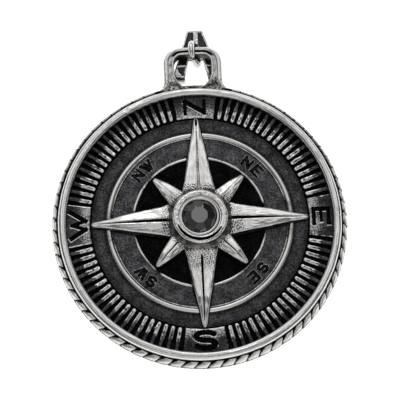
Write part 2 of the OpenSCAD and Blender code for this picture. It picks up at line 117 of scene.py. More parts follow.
def half_round(offset: Any, width: float) -> Any:
    """Height of a half-round moulding over its foot.

    Args:
        offset: Distance from the moulding's middle line.
        width: Width of the moulding.

    Returns:
        The height, which is half the width at the middle line and 0 at the sides.
    """
    return width / 2 * np.sqrt(np.clip(1.0 - (2.0 * offset / width) ** 2, 0.0, 1.0))


def cast_waves(x: np.ndarray, y: np.ndarray, length: float, seed: int, count: int = 20) -> np.ndarray:
    """Gives the gentle unevenness of a surface that was cast and polished by hand.

    Args:
        x: First coordinate in millimetres.
        y: Second coordinate in millimetres.
        length: Typical length of a wave in millimetres.
        seed: Seed of the random waves.
        count: How many waves cross each other.

    Returns:
        A height of about -1 to 1.
    """
    rng = np.random.default_rng(seed)
    total = np.zeros(np.broadcast(x, y).shape)
    for _ in range(count):
        heading, phase = rng.uniform(0, TAU, 2)
        pull = TAU / length * rng.uniform(0.6, 1.6)
        total += np.sin(pull * (x * math.cos(heading) + y * math.sin(heading)) + phase)
    return total / math.sqrt(count / 2) / 1.6


@dataclass
class Skin:
    """One or more closed skins in millimetres, with two finish values at each point.

    Attributes:
        points: Corner positions, one row each.
        faces: Corner numbers of each face.
        polish: 1 where the wheel reached the steel, 0 where the blackening stayed; in places it also holds
            painted highlights and painted shade.
        soot: 1 where the blackening is deepest, 0 where it is thin; in places it also holds painted shade.
    """

    points: np.ndarray
    faces: list[tuple[int, ...]]
    polish: np.ndarray
    soot: np.ndarray

    @staticmethod
    def joined(skins: Iterable["Skin"]) -> "Skin":
        """Puts several skins into one.

        Args:
            skins: Closed skins, which may pass through each other as soldered metal does.

        Returns:
            One skin that holds them all.
        """
        parts = list(skins)
        starts = np.cumsum([0] + [len(part.points) for part in parts])
        faces = [
            tuple(corner + int(start) for corner in face)
            for part, start in zip(parts, starts)
            for face in part.faces
        ]
        return Skin(
            np.concatenate([part.points for part in parts]),
            faces,
            np.concatenate([part.polish for part in parts]),
            np.concatenate([part.soot for part in parts]),
        )

    def to_object(self, name: str, finish: bpy.types.Material, crease_deg: float = 50.0) -> bpy.types.Object:
        """Makes a Blender object of the skin, in metres, with its place in its mesh.

        Args:
            name: Name of the piece.
            finish: Material of the piece.
            crease_deg: Edges that turn more than this stay sharp.

        Returns:
            The new object, linked to the scene.
        """
        mesh = bpy.data.meshes.new(name)
        mesh.from_pydata((self.points * MM).tolist(), [], self.faces)
        mesh.validate()
        for label, values in (("polish", self.polish), ("soot", self.soot)):
            layer = mesh.attributes.new(label, "FLOAT", "POINT")
            layer.data.foreach_set("value", np.asarray(values, np.float32))
        mesh.shade_smooth()
        mesh.set_sharp_from_angle(angle=math.radians(crease_deg))
        mesh.materials.append(finish)
        piece = bpy.data.objects.new(name, mesh)
        bpy.context.scene.collection.objects.link(piece)
        return piece


def grid_faces(rows: int, columns: int, wrap_rows: bool, wrap_columns: bool) -> list[tuple[int, ...]]:
    """Makes the four-sided faces of a grid of points.

    Args:
        rows: Number of rows.
        columns: Number of points in a row.
        wrap_rows: Whether the last row joins the first.
        wrap_columns: Whether the last column joins the first.

    Returns:
        A list of faces.
    """
    i, j = np.meshgrid(
        np.arange(rows if wrap_rows else rows - 1),
        np.arange(columns if wrap_columns else columns - 1),
        indexing="ij",
    )
    i2, j2 = (i + 1) % rows, (j + 1) % columns
    quads = np.stack([i * columns + j, i2 * columns + j, i2 * columns + j2, i * columns + j2], -1)
    return [tuple(quad) for quad in quads.reshape(-1, 4).tolist()]


def slab(top: np.ndarray, polish: np.ndarray, soot: np.ndarray, base_z: float, wrap: bool) -> Skin:
    """Closes a relief into a solid with straight sides and a flat underside.

    Args:
        top: Relief as rows of points, with the outside up when rows run outwards and columns turn left.
        polish: Polish at each point of the relief.
        soot: Soot at each point of the relief.
        base_z: Height of the underside.
        wrap: Whether each row is a full ring.

    Returns:
        The closed skin.
    """
    rows, columns = top.shape[:2]
    inner, outer = top[0].copy(), top[-1].copy()
    inner[:, 2] = base_z
    outer[:, 2] = base_z
    points = np.concatenate([top.reshape(-1, 3), inner, outer])
    low = rows * columns
    last = low - columns
    faces = grid_faces(rows, columns, False, wrap)
    for j in range(columns if wrap else columns - 1):
        k = (j + 1) % columns
        faces.append((j, k, low + k, low + j))
        faces.append((last + k, last + j, low + columns + j, low + columns + k))
        faces.append((low + k, low + columns + k, low + columns + j, low + j))
    if not wrap:
        first = [i * columns for i in range(rows)]
        final = [i * columns + columns - 1 for i in range(rows)]
        faces.append(tuple(reversed(first)) + (low, low + columns))
        faces.append(tuple(final) + (low + 2 * columns - 1, low + columns - 1))
    ends = 2 * columns
    return Skin(
        points,
        faces,
        np.concatenate([polish.ravel(), np.zeros(ends)]),
        np.concatenate([soot.ravel(), np.ones(ends)]),
    )


def revolve(profile: np.ndarray, columns: int, polish: np.ndarray, soot: np.ndarray) -> Skin:
    """Turns a closed outline about the Z axis.

    Args:
        profile: Radius and height of each point, turning left round the metal.
        columns: Number of steps round the axis.
        polish: Polish of each point of the outline.
        soot: Soot of each point of the outline.

    Returns:
        The closed skin.
    """
    turn = np.arange(columns) * TAU / columns
    radius, height = profile[:, :1], profile[:, 1:]
    points = np.stack(
        [radius * np.cos(turn), radius * np.sin(turn), height + 0 * turn], -1
    ).reshape(-1, 3)
    faces = [tuple(reversed(face)) for face in grid_faces(len(profile), columns, True, True)]
    return Skin(points, faces, np.repeat(polish, columns), np.repeat(soot, columns))


def loft(sections: np.ndarray, polish: np.ndarray, soot: np.ndarray) -> Skin:
    """Joins closed sections of as many points each into a solid with flat ends.

    Args:
        sections: Sections as rows of points, turning left as seen from the end of the run.
        polish: Polish at each point.
        soot: Soot at each point.

    Returns:
        The closed skin.
    """
    rows, columns = sections.shape[:2]
    faces = [tuple(reversed(face)) for face in grid_faces(rows, columns, False, True)]
    faces.append(tuple(reversed(range(columns))))
    faces.append(tuple(range((rows - 1) * columns, rows * columns)))
    return Skin(sections.reshape(-1, 3), faces, polish.ravel(), soot.ravel())


class Nodes:
    """Node tree of one material or of the world."""

    def __init__(self, tree: bpy.types.NodeTree) -> None:
        """Starts from an empty tree."""
        self.tree = tree
        tree.nodes.clear()

    def add(self, kind: str, inputs: dict | None = None, **settings: Any) -> bpy.types.Node:
        """Adds a node with its settings and links.

        Args:
            kind: Blender's name of the node's type.
            inputs: Value of, or output linked to, each input that is named or numbered.
            **settings: Properties of the node.

        Returns:
            The new node.
        """
        made = self.tree.nodes.new(kind)
        for name, value in settings.items():
            setattr(made, name, value)
        for key, value in (inputs or {}).items():
            if isinstance(value, bpy.types.NodeSocket):
                self.tree.links.new(value, made.inputs[key])
            else:
                made.inputs[key].default_value = value
        return made


def node_material(name: str) -> tuple[bpy.types.Material, Nodes]:
    """Makes an empty material.

    Args:
        name: Name of the material and its process.

    Returns:
        The material and its node tree.
    """
    made = bpy.data.materials.new(name)
    made.use_nodes = True
    return made, Nodes(made.node_tree)


@dataclass(frozen=True)
class BlackenedSteel:
    """Cast stainless steel, blackened and then polished back on its high parts.

    The wheel leaves a bright mirror with fine lines on whatever stands up, and a matt black-grey oxide
    with the grain of the mould in every recess, where the eye reads the relief.

    Attributes:
        name: Name of the material.
        steel: Colour of the polished steel.
        patina: Colour of thin blackening.
        soot: Colour of the deepest blackening, also used where shade is painted.
        steel_rough: Roughness of the polished steel.
        patina_rough: Roughness of the blackening.
        grain_mm: Width of the mould's grain.
        grain_depth_mm: Depth of the mould's grain.
        line_mm: Spacing of the polishing lines, drawn coarser than the real ones so that they show.
        wear: How unevenly the wheel cut into the blackening.
    """

    name: str = "cast_steel_blackened"
    steel: str = "#d2d1cf"
    patina: str = "#3f3f41"
    soot: str = "#0a0a0b"
    steel_rough: float = 0.16
    patina_rough: float = 0.38
    grain_mm: float = 0.26
    grain_depth_mm: float = 0.05
    line_mm: float = 0.35
    wear: float = 0.5

    def material(self) -> bpy.types.Material:
        """Builds the finish as a node material."""
        made, nodes = node_material(self.name)
        place = nodes.add("ShaderNodeTexCoord").outputs["Object"]
        polish = nodes.add("ShaderNodeAttribute", attribute_name="polish").outputs["Fac"]
        soot = nodes.add("ShaderNodeAttribute", attribute_name="soot").outputs["Fac"]
        # Three patterns: the mould's grain, clouds six grains wide in the oxide, and the wheel's lines.
        grain, blotch, lines = (
            nodes.add(
                "ShaderNodeTexNoise",
                {"Vector": place, "Scale": per_mm(feature), "Detail": detail, "Roughness": rough},
            ).outputs["Fac"]
            for feature, detail, rough in (
                (self.grain_mm, 3.0, 0.6), (self.grain_mm * 6, 3.0, 0.55), (self.line_mm, 5.0, 0.7),
            )
        )
        # Grain and clouds fray the border between bright steel and oxide.
        uneven = nodes.add("ShaderNodeMath", {0: grain, 1: blotch}, operation="ADD").outputs[0]
        shift = nodes.add(
            "ShaderNodeMath", {0: uneven, 1: self.wear, 2: -self.wear}, operation="MULTIPLY_ADD"
        ).outputs[0]
        reached = nodes.add("ShaderNodeMath", {0: polish, 1: shift}, operation="ADD").outputs[0]
        bright = nodes.add(
            "ShaderNodeMapRange",
            {"Value": reached, "From Min": 0.3, "From Max": 0.75},
            interpolation_type="SMOOTHSTEP",
        ).outputs[0]
        # The specks of the grain, the oxide's clouds and the wheel's lines each vary the tone.
        speck, cloud, tone = (
            nodes.add(
                "ShaderNodeMapRange",
                {"Value": value, "From Min": start, "From Max": end, "To Min": low, "To Max": high},
            ).outputs[0]
            for value, start, end, low, high in (
                (grain, 0.4, 0.75, 0.5, 2.6),
                (blotch, 0.35, 0.65, 0.6, 1.45),
                (lines, 0.3, 0.7, 0.86, 1.05),
            )
        )
        speck = nodes.add("ShaderNodeMath", {0: speck, 1: cloud}, operation="MULTIPLY").outputs[0]
        thin = nodes.add(
            "ShaderNodeMix", {0: soot, 6: linear(self.patina), 7: linear(self.soot)}, data_type="RGBA"
        ).outputs[2]
        dark, light = (
            nodes.add("ShaderNodeVectorMath", {0: colour, "Scale": factor}, operation="SCALE").outputs[0]
            for colour, factor in ((thin, speck), (linear(self.steel)[:3], tone))
        )
        colour = nodes.add("ShaderNodeMix", {0: bright, 6: dark, 7: light}, data_type="RGBA").outputs[2]
        rough = nodes.add(
            "ShaderNodeMix", {0: bright, 2: self.patina_rough, 3: self.steel_rough}, data_type="FLOAT"
        ).outputs[0]
        # The wheel leaves a quarter of the grain's depth.
        relief = nodes.add(
            "ShaderNodeMapRange", {"Value": bright, "To Min": 1.0, "To Max": 0.25}
        ).outputs[0]
        height = nodes.add("ShaderNodeMath", {0: grain, 1: relief}, operation="MULTIPLY").outputs[0]
        bump = nodes.add(
            "ShaderNodeBump", {"Height": height, "Distance": self.grain_depth_mm * MM, "Strength": 1.0}
        ).outputs["Normal"]
        shader = nodes.add(
            "ShaderNodeBsdfPrincipled",
            {"Base Color": colour, "Roughness": rough, "Metallic": 1.0, "Normal": bump},
        ).outputs[0]
        nodes.add("ShaderNodeOutputMaterial", {"Surface": shader})
        return made


@dataclass(frozen=True)
class CutStone:
    """Black hematite, cut and polished flat, which mirrors a sharp picture on each facet.

    Attributes:
        name: Name of the material.
        body: Colour of the stone.
        rough: Roughness of its polish.
        ior: Index of refraction of hematite.
        cloud_mm: Width of the clouds in the stone.
        facet_scale: How fast the gloss changes with a facet's heading, which paints the facets brighter and
            darker as reflections.
        table_gloss: Specular level of the table.
        crown_gloss: Specular level of the brightest crown facets.
        dim_facet_gloss: Specular level of the dullest crown facets.
        table_rise: Upward share of the normal over which a facet is the table.
    """

    name: str = "black_hematite_polished"
    body: str = "#0b0b0d"
    rough: float = 0.04
    ior: float = 2.7
    cloud_mm: float = 1.2
    facet_scale: float = 4.0
    table_gloss: float = 0.5
    crown_gloss: float = 0.42
    dim_facet_gloss: float = 0.04
    table_rise: float = 0.98

    def material(self) -> bpy.types.Material:
        """Builds the finish as a node material."""
        made, nodes = node_material(self.name)
        place = nodes.add("ShaderNodeTexCoord").outputs["Object"]
        cloud = nodes.add(
            "ShaderNodeTexNoise", {"Vector": place, "Scale": per_mm(self.cloud_mm), "Detail": 2.0}
        ).outputs["Fac"]
        tone = nodes.add("ShaderNodeMapRange", {"Value": cloud, "To Min": 0.6, "To Max": 1.6}).outputs[0]
        colour = nodes.add(
            "ShaderNodeVectorMath", {0: linear(self.body)[:3], "Scale": tone}, operation="SCALE"
        ).outputs[0]
        facing = nodes.add("ShaderNodeNewGeometry").outputs["True Normal"]
        # Painted reflection: each crown facet's specular level follows a noise on its heading, so some
        # facets look bright and some dark as if they mirrored a lit room.
        facet = nodes.add(
            "ShaderNodeTexNoise", {"Vector": facing, "Scale": self.facet_scale, "Detail": 1.0}
        ).outputs["Fac"]
        levels = {"To Min": self.dim_facet_gloss, "To Max": self.crown_gloss}
        facet_gloss = nodes.add(
            "ShaderNodeMapRange", {"Value": facet, "From Min": 0.38, "From Max": 0.62, **levels}
        ).outputs[0]
        rise = nodes.add("ShaderNodeSeparateXYZ", {0: facing}).outputs["Z"]
        table = nodes.add(
            "ShaderNodeMath", {0: rise, 1: self.table_rise}, operation="GREATER_THAN"
        ).outputs[0]
        gloss = nodes.add(
            "ShaderNodeMix", {0: table, 2: facet_gloss, 3: self.table_gloss}, data_type="FLOAT"
        ).outputs[0]
        shader = nodes.add(
            "ShaderNodeBsdfPrincipled",
            {"Base Color": colour, "Roughness": self.rough, "IOR": self.ior, "Specular IOR Level": gloss},
        ).outputs[0]
        nodes.add("ShaderNodeOutputMaterial", {"Surface": shader})
        return made


class Glyph(Enum):
    """The four compass letters, each as strokes in a box from -1 to 1 across and up.

    A stroke is its two ends and its width as a share of the letter's height.
    """

    N = ((-1, -1, -1, 1, 0.17), (1, -1, 1, 1, 0.17), (-1, 0.9, 1, -0.9, 0.27))
    E = ((-1, -1, -1, 1, 0.25), (-1, 1, 1, 1, 0.19), (-1, 0, 0.6, 0, 0.15), (-1, -1, 1, -1, 0.19))
    S = ()
    W = (
        (-1, 1, -0.32, -1, 0.23), (-0.32, -1, 0, 0.8, 0.18),
        (0, 0.8, 0.32, -1, 0.18), (0.32, -1, 1, 1, 0.23),
    )

    def strokes(self) -> Sequence[tuple[float, float, float, float, float]]:
        """Gives the letter's strokes, with the S as a chain of short ones along two bows."""
        if self.value:
            return self.value
        bow = [(math.cos(t), 0.5 * (1 + math.sin(t))) for t in np.radians(np.arange(25, 271, 15))]
        tail = [(math.cos(t), 0.5 * (math.sin(t) - 1)) for t in np.radians(np.arange(75, -156, -15))]
        path = bow + tail
        return [(*a, *b, 0.24) for a, b in zip(path, path[1:])]

    def depth_inside(self, x: np.ndarray, y: np.ndarray, width: float, height: float) -> np.ndarray:
        """Measures how far points lie inside the letter's strokes.

        Args:
            x: Distance to the right of the letter's middle, in millimetres.
            y: Distance above the letter's middle, in millimetres.
            width: Width of the letter in millimetres.
            height: Height of the letter in millimetres.

        Returns:
            The depth in millimetres, negative outside the strokes.
        """
        best = np.full(x.shape, -9.0)
        square_ends = bool(self.value)
        for x0, y0, x1, y1, share in self.strokes():
            half = share * height / 2
            ax, ay = x0 * (width / 2 - half), y0 * (height / 2 - half)
            bx, by = x1 * (width / 2 - half), y1 * (height / 2 - half)
            length = math.hypot(bx - ax, by - ay)
            ux, uy = (bx - ax) / length, (by - ay) / length
            along = (x - ax) * ux + (y - ay) * uy
            aside = np.abs((y - ay) * ux - (x - ax) * uy)
            past = np.maximum(-along, along - length)
            if square_ends:
                inside = half - np.maximum(aside, past)
            else:
                inside = half - np.hypot(aside, np.maximum(past, 0))
            best = np.maximum(best, inside)
        return best


@dataclass
class Relief:
    """A patch of the dial's face as heights over a polar grid.

    Attributes:
        radii: Radius of each row, or of each point, in millimetres.
        turns: Angle of each column, or of each point, in radians, counted anticlockwise from +X.
    """

    radii: np.ndarray
    turns: np.ndarray
    x: np.ndarray = field(init=False)
    y: np.ndarray = field(init=False)

    def __post_init__(self) -> None:
        """Works out where the grid's points lie."""
        self.x = self.radii * np.cos(self.turns)
        self.y = self.radii * np.sin(self.turns)

    def skin(self, z: np.ndarray, polish: np.ndarray, soot: np.ndarray, base_z: float, wrap: bool) -> Skin:
        """Closes the patch into a solid.

        Args:
            z: Height of each point in millimetres.
            polish: Polish of each point.
            soot: Soot of each point.
            base_z: Height of the underside.
            wrap: Whether the patch is a full ring.

        Returns:
            The closed skin.
        """
        shape = np.broadcast(self.x, z).shape
        top = np.stack([np.broadcast_to(v, shape) for v in (self.x, self.y, z)], -1)
        return slab(top, np.broadcast_to(polish, shape), np.broadcast_to(soot, shape), base_z, wrap)


@dataclass
class CaseSizes:
    """Radii and depths of the case in millimetres, with depths counted down from the rim's crest.

    Attributes:
        rim_r: Outer radius of the rim.
        rim_w: Width of the rim.
        ridge_pitch: Spacing of the ridges that turning left along the rim.
        ridge_h: Height of those ridges.
        rope_half: Half thickness of the rope edge's bead.
        rope_drop: Depth of the bead's middle.
        rope_lobes: Number of lobes round the bead.
        rope_lean_deg: Lean of the lobes from the case's axis.
        back_r: Radius of the flat back.
        tick_in_r: Radius of the ticks' and plates' inner ends.
        tick_w: Width of a tick.
        tick_pitch_deg: Angle from one tick to the next.
        ticks_a_quarter: Number of ticks between two letter plates.
        tick_floor: Depth of the floor between the ticks.
        tick_top: Depth of the ticks' and plates' tops.
        plate_half_deg: Half angle of a letter plate.
        band_floor: Depth of the plain band.
        ring_r: Radius of the outer ring's crest.
        ring_w: Width of the outer ring.
        ring_crest: Depth of the outer ring's crest.
        text_floor: Depth of the letter band.
        inner_ring_r: Radius of the inner ring's crest.
        inner_ring_w: Width of the inner ring.
        inner_ring_crest: Depth of the inner ring's crest.
        well_floor: Depth of the well.
        boss_r: Radius of the centre boss.
    """

    rim_r: float = ROPE_R - 0.9
    rim_w: float = 1.3
    ridge_pitch: float = 0.42
    ridge_h: float = 0.015
    rope_half: float = 1.35
    rope_drop: float = 1.95
    rope_lobes: int = 72
    rope_lean_deg: float = 32.0
    back_r: float = 19.5
    tick_in_r: float = 16.55
    tick_w: float = 0.64
    tick_pitch_deg: float = 3.6
    ticks_a_quarter: int = 19
    tick_floor: float = 1.65
    tick_top: float = 0.85
    plate_half_deg: float = 9.8
    band_floor: float = 1.9
    ring_r: float = 13.78
    ring_w: float = 0.8
    ring_crest: float = 0.88
    text_floor: float = 1.35
    inner_ring_r: float = 10.05
    inner_ring_w: float = 0.5
    inner_ring_crest: float = 1.05
    well_floor: float = 2.4
    boss_r: float = 3.6

    @property
    def rim_in_r(self) -> float:
        """Radius of the rim's inner wall."""
        return self.rim_r - self.rim_w


@dataclass
class Flaw:
    """A bead of steel that the mould left, or a chip out of a tick.

    Attributes:
        clock_deg: Angle clockwise from +Y.
        radius: Distance from the dial's centre in millimetres.
        size: Radius of the flaw in millimetres.
        height: How far it stands up, or how far it is sunk if negative.
    """

    clock_deg: float
    radius: float
    size: float
    height: float

    def height_at(self, x: np.ndarray, y: np.ndarray) -> np.ndarray:
        """Gives the flaw's height over the surface at each point."""
        turn = math.radians(90 - self.clock_deg)
        away = np.hypot(x - self.radius * math.cos(turn), y - self.radius * math.sin(turn))
        return self.height * np.exp(-((away / self.size) ** 2) * 1.5)


@dataclass
class Dial:
    """The dial's face: well, rings, letter band, plain band, ticks and letter plates.

    Attributes:
        sizes: Sizes of the case.
        finish: Material of the dial.
        letter_cut: Depth of the big letters.
        small_cut: Depth of the small letters.
        small_h: Height of the small letters.
        second_line_w: Width of the fine line inside the outer ring.
        tick_round: Radius of the rounding on a tick's edges.
        big_letters: Letter, width and height on each plate, clockwise from +Y.
        plate_lines: How far the inner end and the sides of each plate are polished.
        small_pairs: Letters of each pair, clockwise from the one right of +Y.
        flaws: Beads and chips on the ticks.
    """

    sizes: CaseSizes
    finish: bpy.types.Material
    letter_cut: float = 0.34
    small_cut: float = 0.22
    small_h: float = 1.75
    second_line_w: float = 0.2
    tick_round: float = 0.22
    big_letters: tuple[tuple[Glyph, float, float], ...] = (
        (Glyph.N, 3.4, 2.6), (Glyph.E, 2.9, 2.75), (Glyph.S, 3.6, 3.15), (Glyph.W, 4.7, 2.75),
    )
    plate_lines: tuple[tuple[float, float], ...] = ((0.7, 0.35), (0.55, 0.6), (1.0, 0.4), (0.3, 0.95))
    small_pairs: tuple[tuple[Glyph, Glyph], ...] = (
        (Glyph.N, Glyph.E), (Glyph.S, Glyph.E), (Glyph.S, Glyph.W), (Glyph.N, Glyph.W),
    )
    flaws: tuple[Flaw, ...] = (
        Flaw(17.5, 17.9, 0.3, -0.5),
        Flaw(41.0, 17.8, 0.28, -0.45),
        Flaw(57.5, 17.6, 0.32, 0.75),
        Flaw(63.5, 18.2, 0.42, 0.8),
        Flaw(248.0, 18.6, 0.35, 0.7),
        Flaw(205.0, 17.6, 0.3, 0.6),
        Flaw(333.0, 17.4, 0.35, 0.6),
        Flaw(322.0, 18.4, 0.3, 0.55),
    )

    def floor_grid(self) -> Relief:
        """Lays the grid from the boss to the plain band, finer at the rings and the small letters."""
        s = self.sizes
        pairs = (45, 135, 225, 315)
        wide = np.radians(np.arange(0, 360, 1.0))
        fine = [np.radians(np.arange(mid - 12.6, mid + 12.6, 0.3)) for mid in pairs]
        keep = [turn for turn in wide if all(abs(math.degrees(turn) - mid) > 12.8 for mid in pairs)]
        turns = np.sort(np.concatenate([keep, *fine]))
        radii = np.concatenate([
            np.linspace(s.boss_r - 0.2, 9.6, 12),
            np.arange(9.7, 10.42, 0.055),
            np.arange(10.45, 13.12, 0.07),
            np.arange(13.14, 14.36, 0.045),
            np.linspace(14.4, s.tick_in_r - 0.22, 14),
        ])
        return Relief(radii[:, None], turns[None, :])

    def floor(self) -> Skin:
        """Builds the relief from the boss out to the plain band, with the small letters."""
        s = self.sizes
        grid = self.floor_grid()
        r = grid.radii
        z = np.full(grid.x.shape, RIM_TOP - s.well_floor)
        z += (s.well_floor - s.text_floor) * ramp(r, s.inner_ring_r - 0.3, s.inner_ring_r - 0.1)
        z -= (s.band_floor - s.text_floor) * ramp(r, s.ring_r + 0.3, s.ring_r + 0.42)
        wobble = cast_waves(grid.x, grid.y, 3.0, 11)
        z += 0.02 * wobble + 0.012 * cast_waves(grid.x, grid.y, 0.9, 12)
        outer = RIM_TOP - s.ring_crest - s.ring_w / 2 + half_round(r - s.ring_r, s.ring_w)
        inner = RIM_TOP - s.inner_ring_crest - s.inner_ring_w / 2
        inner = inner + half_round(r - s.inner_ring_r - 0.02 * wobble, s.inner_ring_w)
        on_outer = np.abs(r - s.ring_r) < s.ring_w / 2
        on_inner = np.abs(r - s.inner_ring_r) < s.inner_ring_w / 2
        z = np.where(on_outer, np.maximum(z, outer + 0.008 * wobble), z)
        z = np.where(on_inner, np.maximum(z, inner), z)
        step = r - s.ring_r + s.ring_w / 2 + 0.08
        line = half_round(step, self.second_line_w) * (np.abs(step) < self.second_line_w / 2)
        z = np.maximum(z, RIM_TOP - s.ring_crest - 0.3 + line)
        cut, lip = self.small_letters(grid)
        z -= self.small_cut * cut
        z += 0.05 * lip
        polish = np.maximum(self.ring_polish(grid, step), 0.5 * lip)
        soot = np.maximum(self.floor_soot(r), 0.9 * cut)
        return grid.skin(z, polish, soot, RIM_TOP - s.well_floor - 0.3, True)

    def ring_polish(self, grid: Relief, step: np.ndarray) -> np.ndarray:
        """Tells how far the wheel polished the two rings and the second line, with painted shade where the
        rose's arms cross them.

        Args:
            grid: Patch of the dial.
            step: Distance outwards from the second line's middle.

        Returns:
            The polish at each point.
        """
        s = self.sizes
        r = grid.radii
        # Painted shade: the rings are painted duller near +X and -X, where the long arms cross over them.
        sides = 1 - 0.4 * ramp(np.abs(grid.x) / r, 0.95, 0.995)
        polish = 0.95 * sides * ramp(np.abs(r - s.ring_r), 0.4, 0.27)
        polish = np.maximum(polish, 0.62 * sides * ramp(np.abs(step), 0.1, 0.05))
        patchy_polish = 0.85 + 0.2 * cast_waves(grid.x, grid.y, 2.5, 13)
        patchy_polish = patchy_polish * (1 - 0.6 * ramp(np.abs(grid.x) / r, 0.93, 0.99))
        # Painted shadow: the inner ring is also painted duller under the short arms' tips.
        patchy_polish = patchy_polish * (1 - 0.45 * ramp(2 * np.abs(grid.x * grid.y) / r**2, 0.93, 0.99))
        return np.maximum(polish, patchy_polish * ramp(np.abs(r - s.inner_ring_r), 0.24, 0.1))

    def floor_soot(self, r: np.ndarray) -> np.ndarray:
        """Tells how dark the well, the rings' feet and the two bands are at each radius."""
        s = self.sizes
        soot = 1.0 - 0.97 * ramp(r, s.inner_ring_r - 0.12, s.inner_ring_r + 0.1)
        crevice = ramp(r, s.ring_r + 0.35, s.ring_r + 0.5) * ramp(r, s.ring_r + 1.1, s.ring_r + 0.6)
        crevice = np.maximum(crevice, ramp(r, s.ring_r - 0.95, s.ring_r - 0.45) * (r < s.ring_r))
        soot = np.maximum(soot, 0.75 * crevice)
        shade = 0.28 + 0.35 * ramp(r, s.tick_in_r - 1.1, s.tick_in_r - 0.3)
        return np.maximum(soot, shade * (r > s.ring_r))

    def small_letters(self, grid: Relief) -> tuple[np.ndarray, np.ndarray]:
        """Measures the small letters' cut and the raised lip round it.

        Args:
            grid: Patch of the dial.

        Returns:
            The cut and the lip at each point, both from 0 to 1.
        """
        s = self.sizes
        mid_r = (s.ring_r - s.ring_w / 2 + s.inner_ring_r + s.inner_ring_w / 2) / 2
        step = math.degrees(self.small_h * 0.56 / mid_r)
        inside = np.full(grid.x.shape, -9.0)
        for i, pair in enumerate(self.small_pairs):
            for side, glyph in zip((-1, 1), pair):
                turn = math.radians(45 - 90 * i - side * step)
                up = grid.x * math.cos(turn) + grid.y * math.sin(turn) - mid_r
                right = grid.x * math.sin(turn) - grid.y * math.cos(turn)
                near = (np.abs(up) < 1.6) & (np.abs(right) < 1.6)
                width = self.small_h * (1.09 if glyph is Glyph.W else 0.85)
                depth = glyph.depth_inside(right, up, width, self.small_h)
                inside = np.where(near, np.maximum(inside, depth), inside)
        return ramp(inside, -0.06, 0.08), ramp(inside, -0.2, -0.08) * ramp(inside, 0.02, -0.05)

    def ticks(self) -> Skin:
        """Builds the four groups of ticks, each as a patch whose columns follow the ticks' sides."""
        s = self.sizes
        half = math.radians(s.tick_pitch_deg / 2)
        across = np.array([-1.0, -0.55, -0.14, 0.0, 0.1, 0.26, 0.5, 0.78, 1.0])
        radii = np.concatenate([
            np.linspace(s.tick_in_r - 0.3, s.tick_in_r - 0.06, 4),
            s.tick_in_r + np.array([-0.02, 0.02, 0.06, 0.12, 0.19, 0.27, 0.36, 0.46]),
            np.linspace(s.tick_in_r + 0.6, s.rim_in_r + 0.12, 16),
        ])
        skins = []
        for quarter in range(4):
            columns = []
            for i in range(s.ticks_a_quarter):
                mid = 45 + 90 * quarter + (i - (s.ticks_a_quarter - 1) / 2) * s.tick_pitch_deg
                side = np.arcsin(s.tick_w / 2 / radii)[:, None]
                left = np.where(across < 0, side - across * (half - side), side * (1 - across))
                both = np.concatenate([-left[:, :-1], left[:, ::-1]], axis=1)
                start = 0 if i == 0 else 1
                columns.append(math.radians(mid) + both[:, start:])
            grid = Relief(radii[:, None], np.concatenate(columns, axis=1))
            skins.append(self.tick_patch(grid))
        return Skin.joined(skins)

    def tick_patch(self, grid: Relief) -> Skin:
        """Raises the ticks on a patch of the tick ring.

        Args:
            grid: Patch whose columns follow the ticks' sides.

        Returns:
            The closed skin of the patch.
        """
        s = self.sizes
        pitch = math.radians(s.tick_pitch_deg)
        index = np.round(grid.turns / pitch - 0.5)
        offset = grid.turns - (index + 0.5) * pitch
        along = grid.radii * np.cos(offset)
        aside = grid.radii * np.sin(offset)
        end = s.tick_in_r + s.tick_w / 2
        inside = s.tick_w / 2 - np.hypot(aside, np.clip(end - along, 0, None))
        rng = np.random.default_rng(21)
        lift = rng.uniform(-0.05, 0.04, 101)[index.astype(int) % 100]
        shoulder = np.clip(1 - inside / self.tick_round, 0, 1)
        fall = self.tick_round * (1 - np.sqrt(np.clip(1 - shoulder**2, 0, 1)))
        crown = RIM_TOP - s.tick_top + lift - fall
        floor = RIM_TOP - s.tick_floor + 0.03 * cast_waves(grid.x, grid.y, 0.8, 22)
        z = floor + (crown - floor) * ramp(inside, -0.05, 0.01)
        z -= 0.05 * ramp(inside, 0.08, 0.28) * ramp(along, s.tick_in_r + 1.1, s.tick_in_r + 0.2)
        z += 0.03 * cast_waves(grid.x, grid.y, 0.6, 23) * (inside > 0.02)
        bead = sum(flaw.height_at(grid.x, grid.y) for flaw in self.flaws)
        z = np.clip(z + bead, RIM_TOP - s.tick_floor - 0.05, RIM_TOP - s.tick_top + 0.12)
        # Partly the wheel's reach and partly painted shade from the rim: the ticks stay bright on their
        # inner halves and are painted darker towards the rim.
        reach = s.tick_in_r + 2.1 + 0.45 * cast_waves(grid.x, grid.y, 3.0, 24)
        lit = ramp(along, reach + 1.0, reach - 0.7)
        outline = ramp(inside, 0.0, 0.05) * ramp(inside, 0.29, 0.21)
        tip = ramp(along, s.tick_in_r + 0.6, s.tick_in_r + 0.25)
        blotch = 0.4 + 0.26 * cast_waves(grid.x, grid.y, 0.7, 25)
        frayed = outline * (0.85 + 0.3 * cast_waves(grid.x, grid.y, 1.0, 26))
        polish = lit * np.maximum(frayed, ramp(inside, 0.0, 0.1) * np.maximum(blotch, 0.8 * tip))
        polish = np.maximum(polish, 0.16 * ramp(inside, 0.0, 0.1))
        polish = np.maximum(polish, 0.9 * ramp(bead, 0.25, 0.45))
        soot = np.where(inside > 0, 0.12, 0.97)
        return grid.skin(z, polish, soot, RIM_TOP - s.band_floor - 0.4, False)

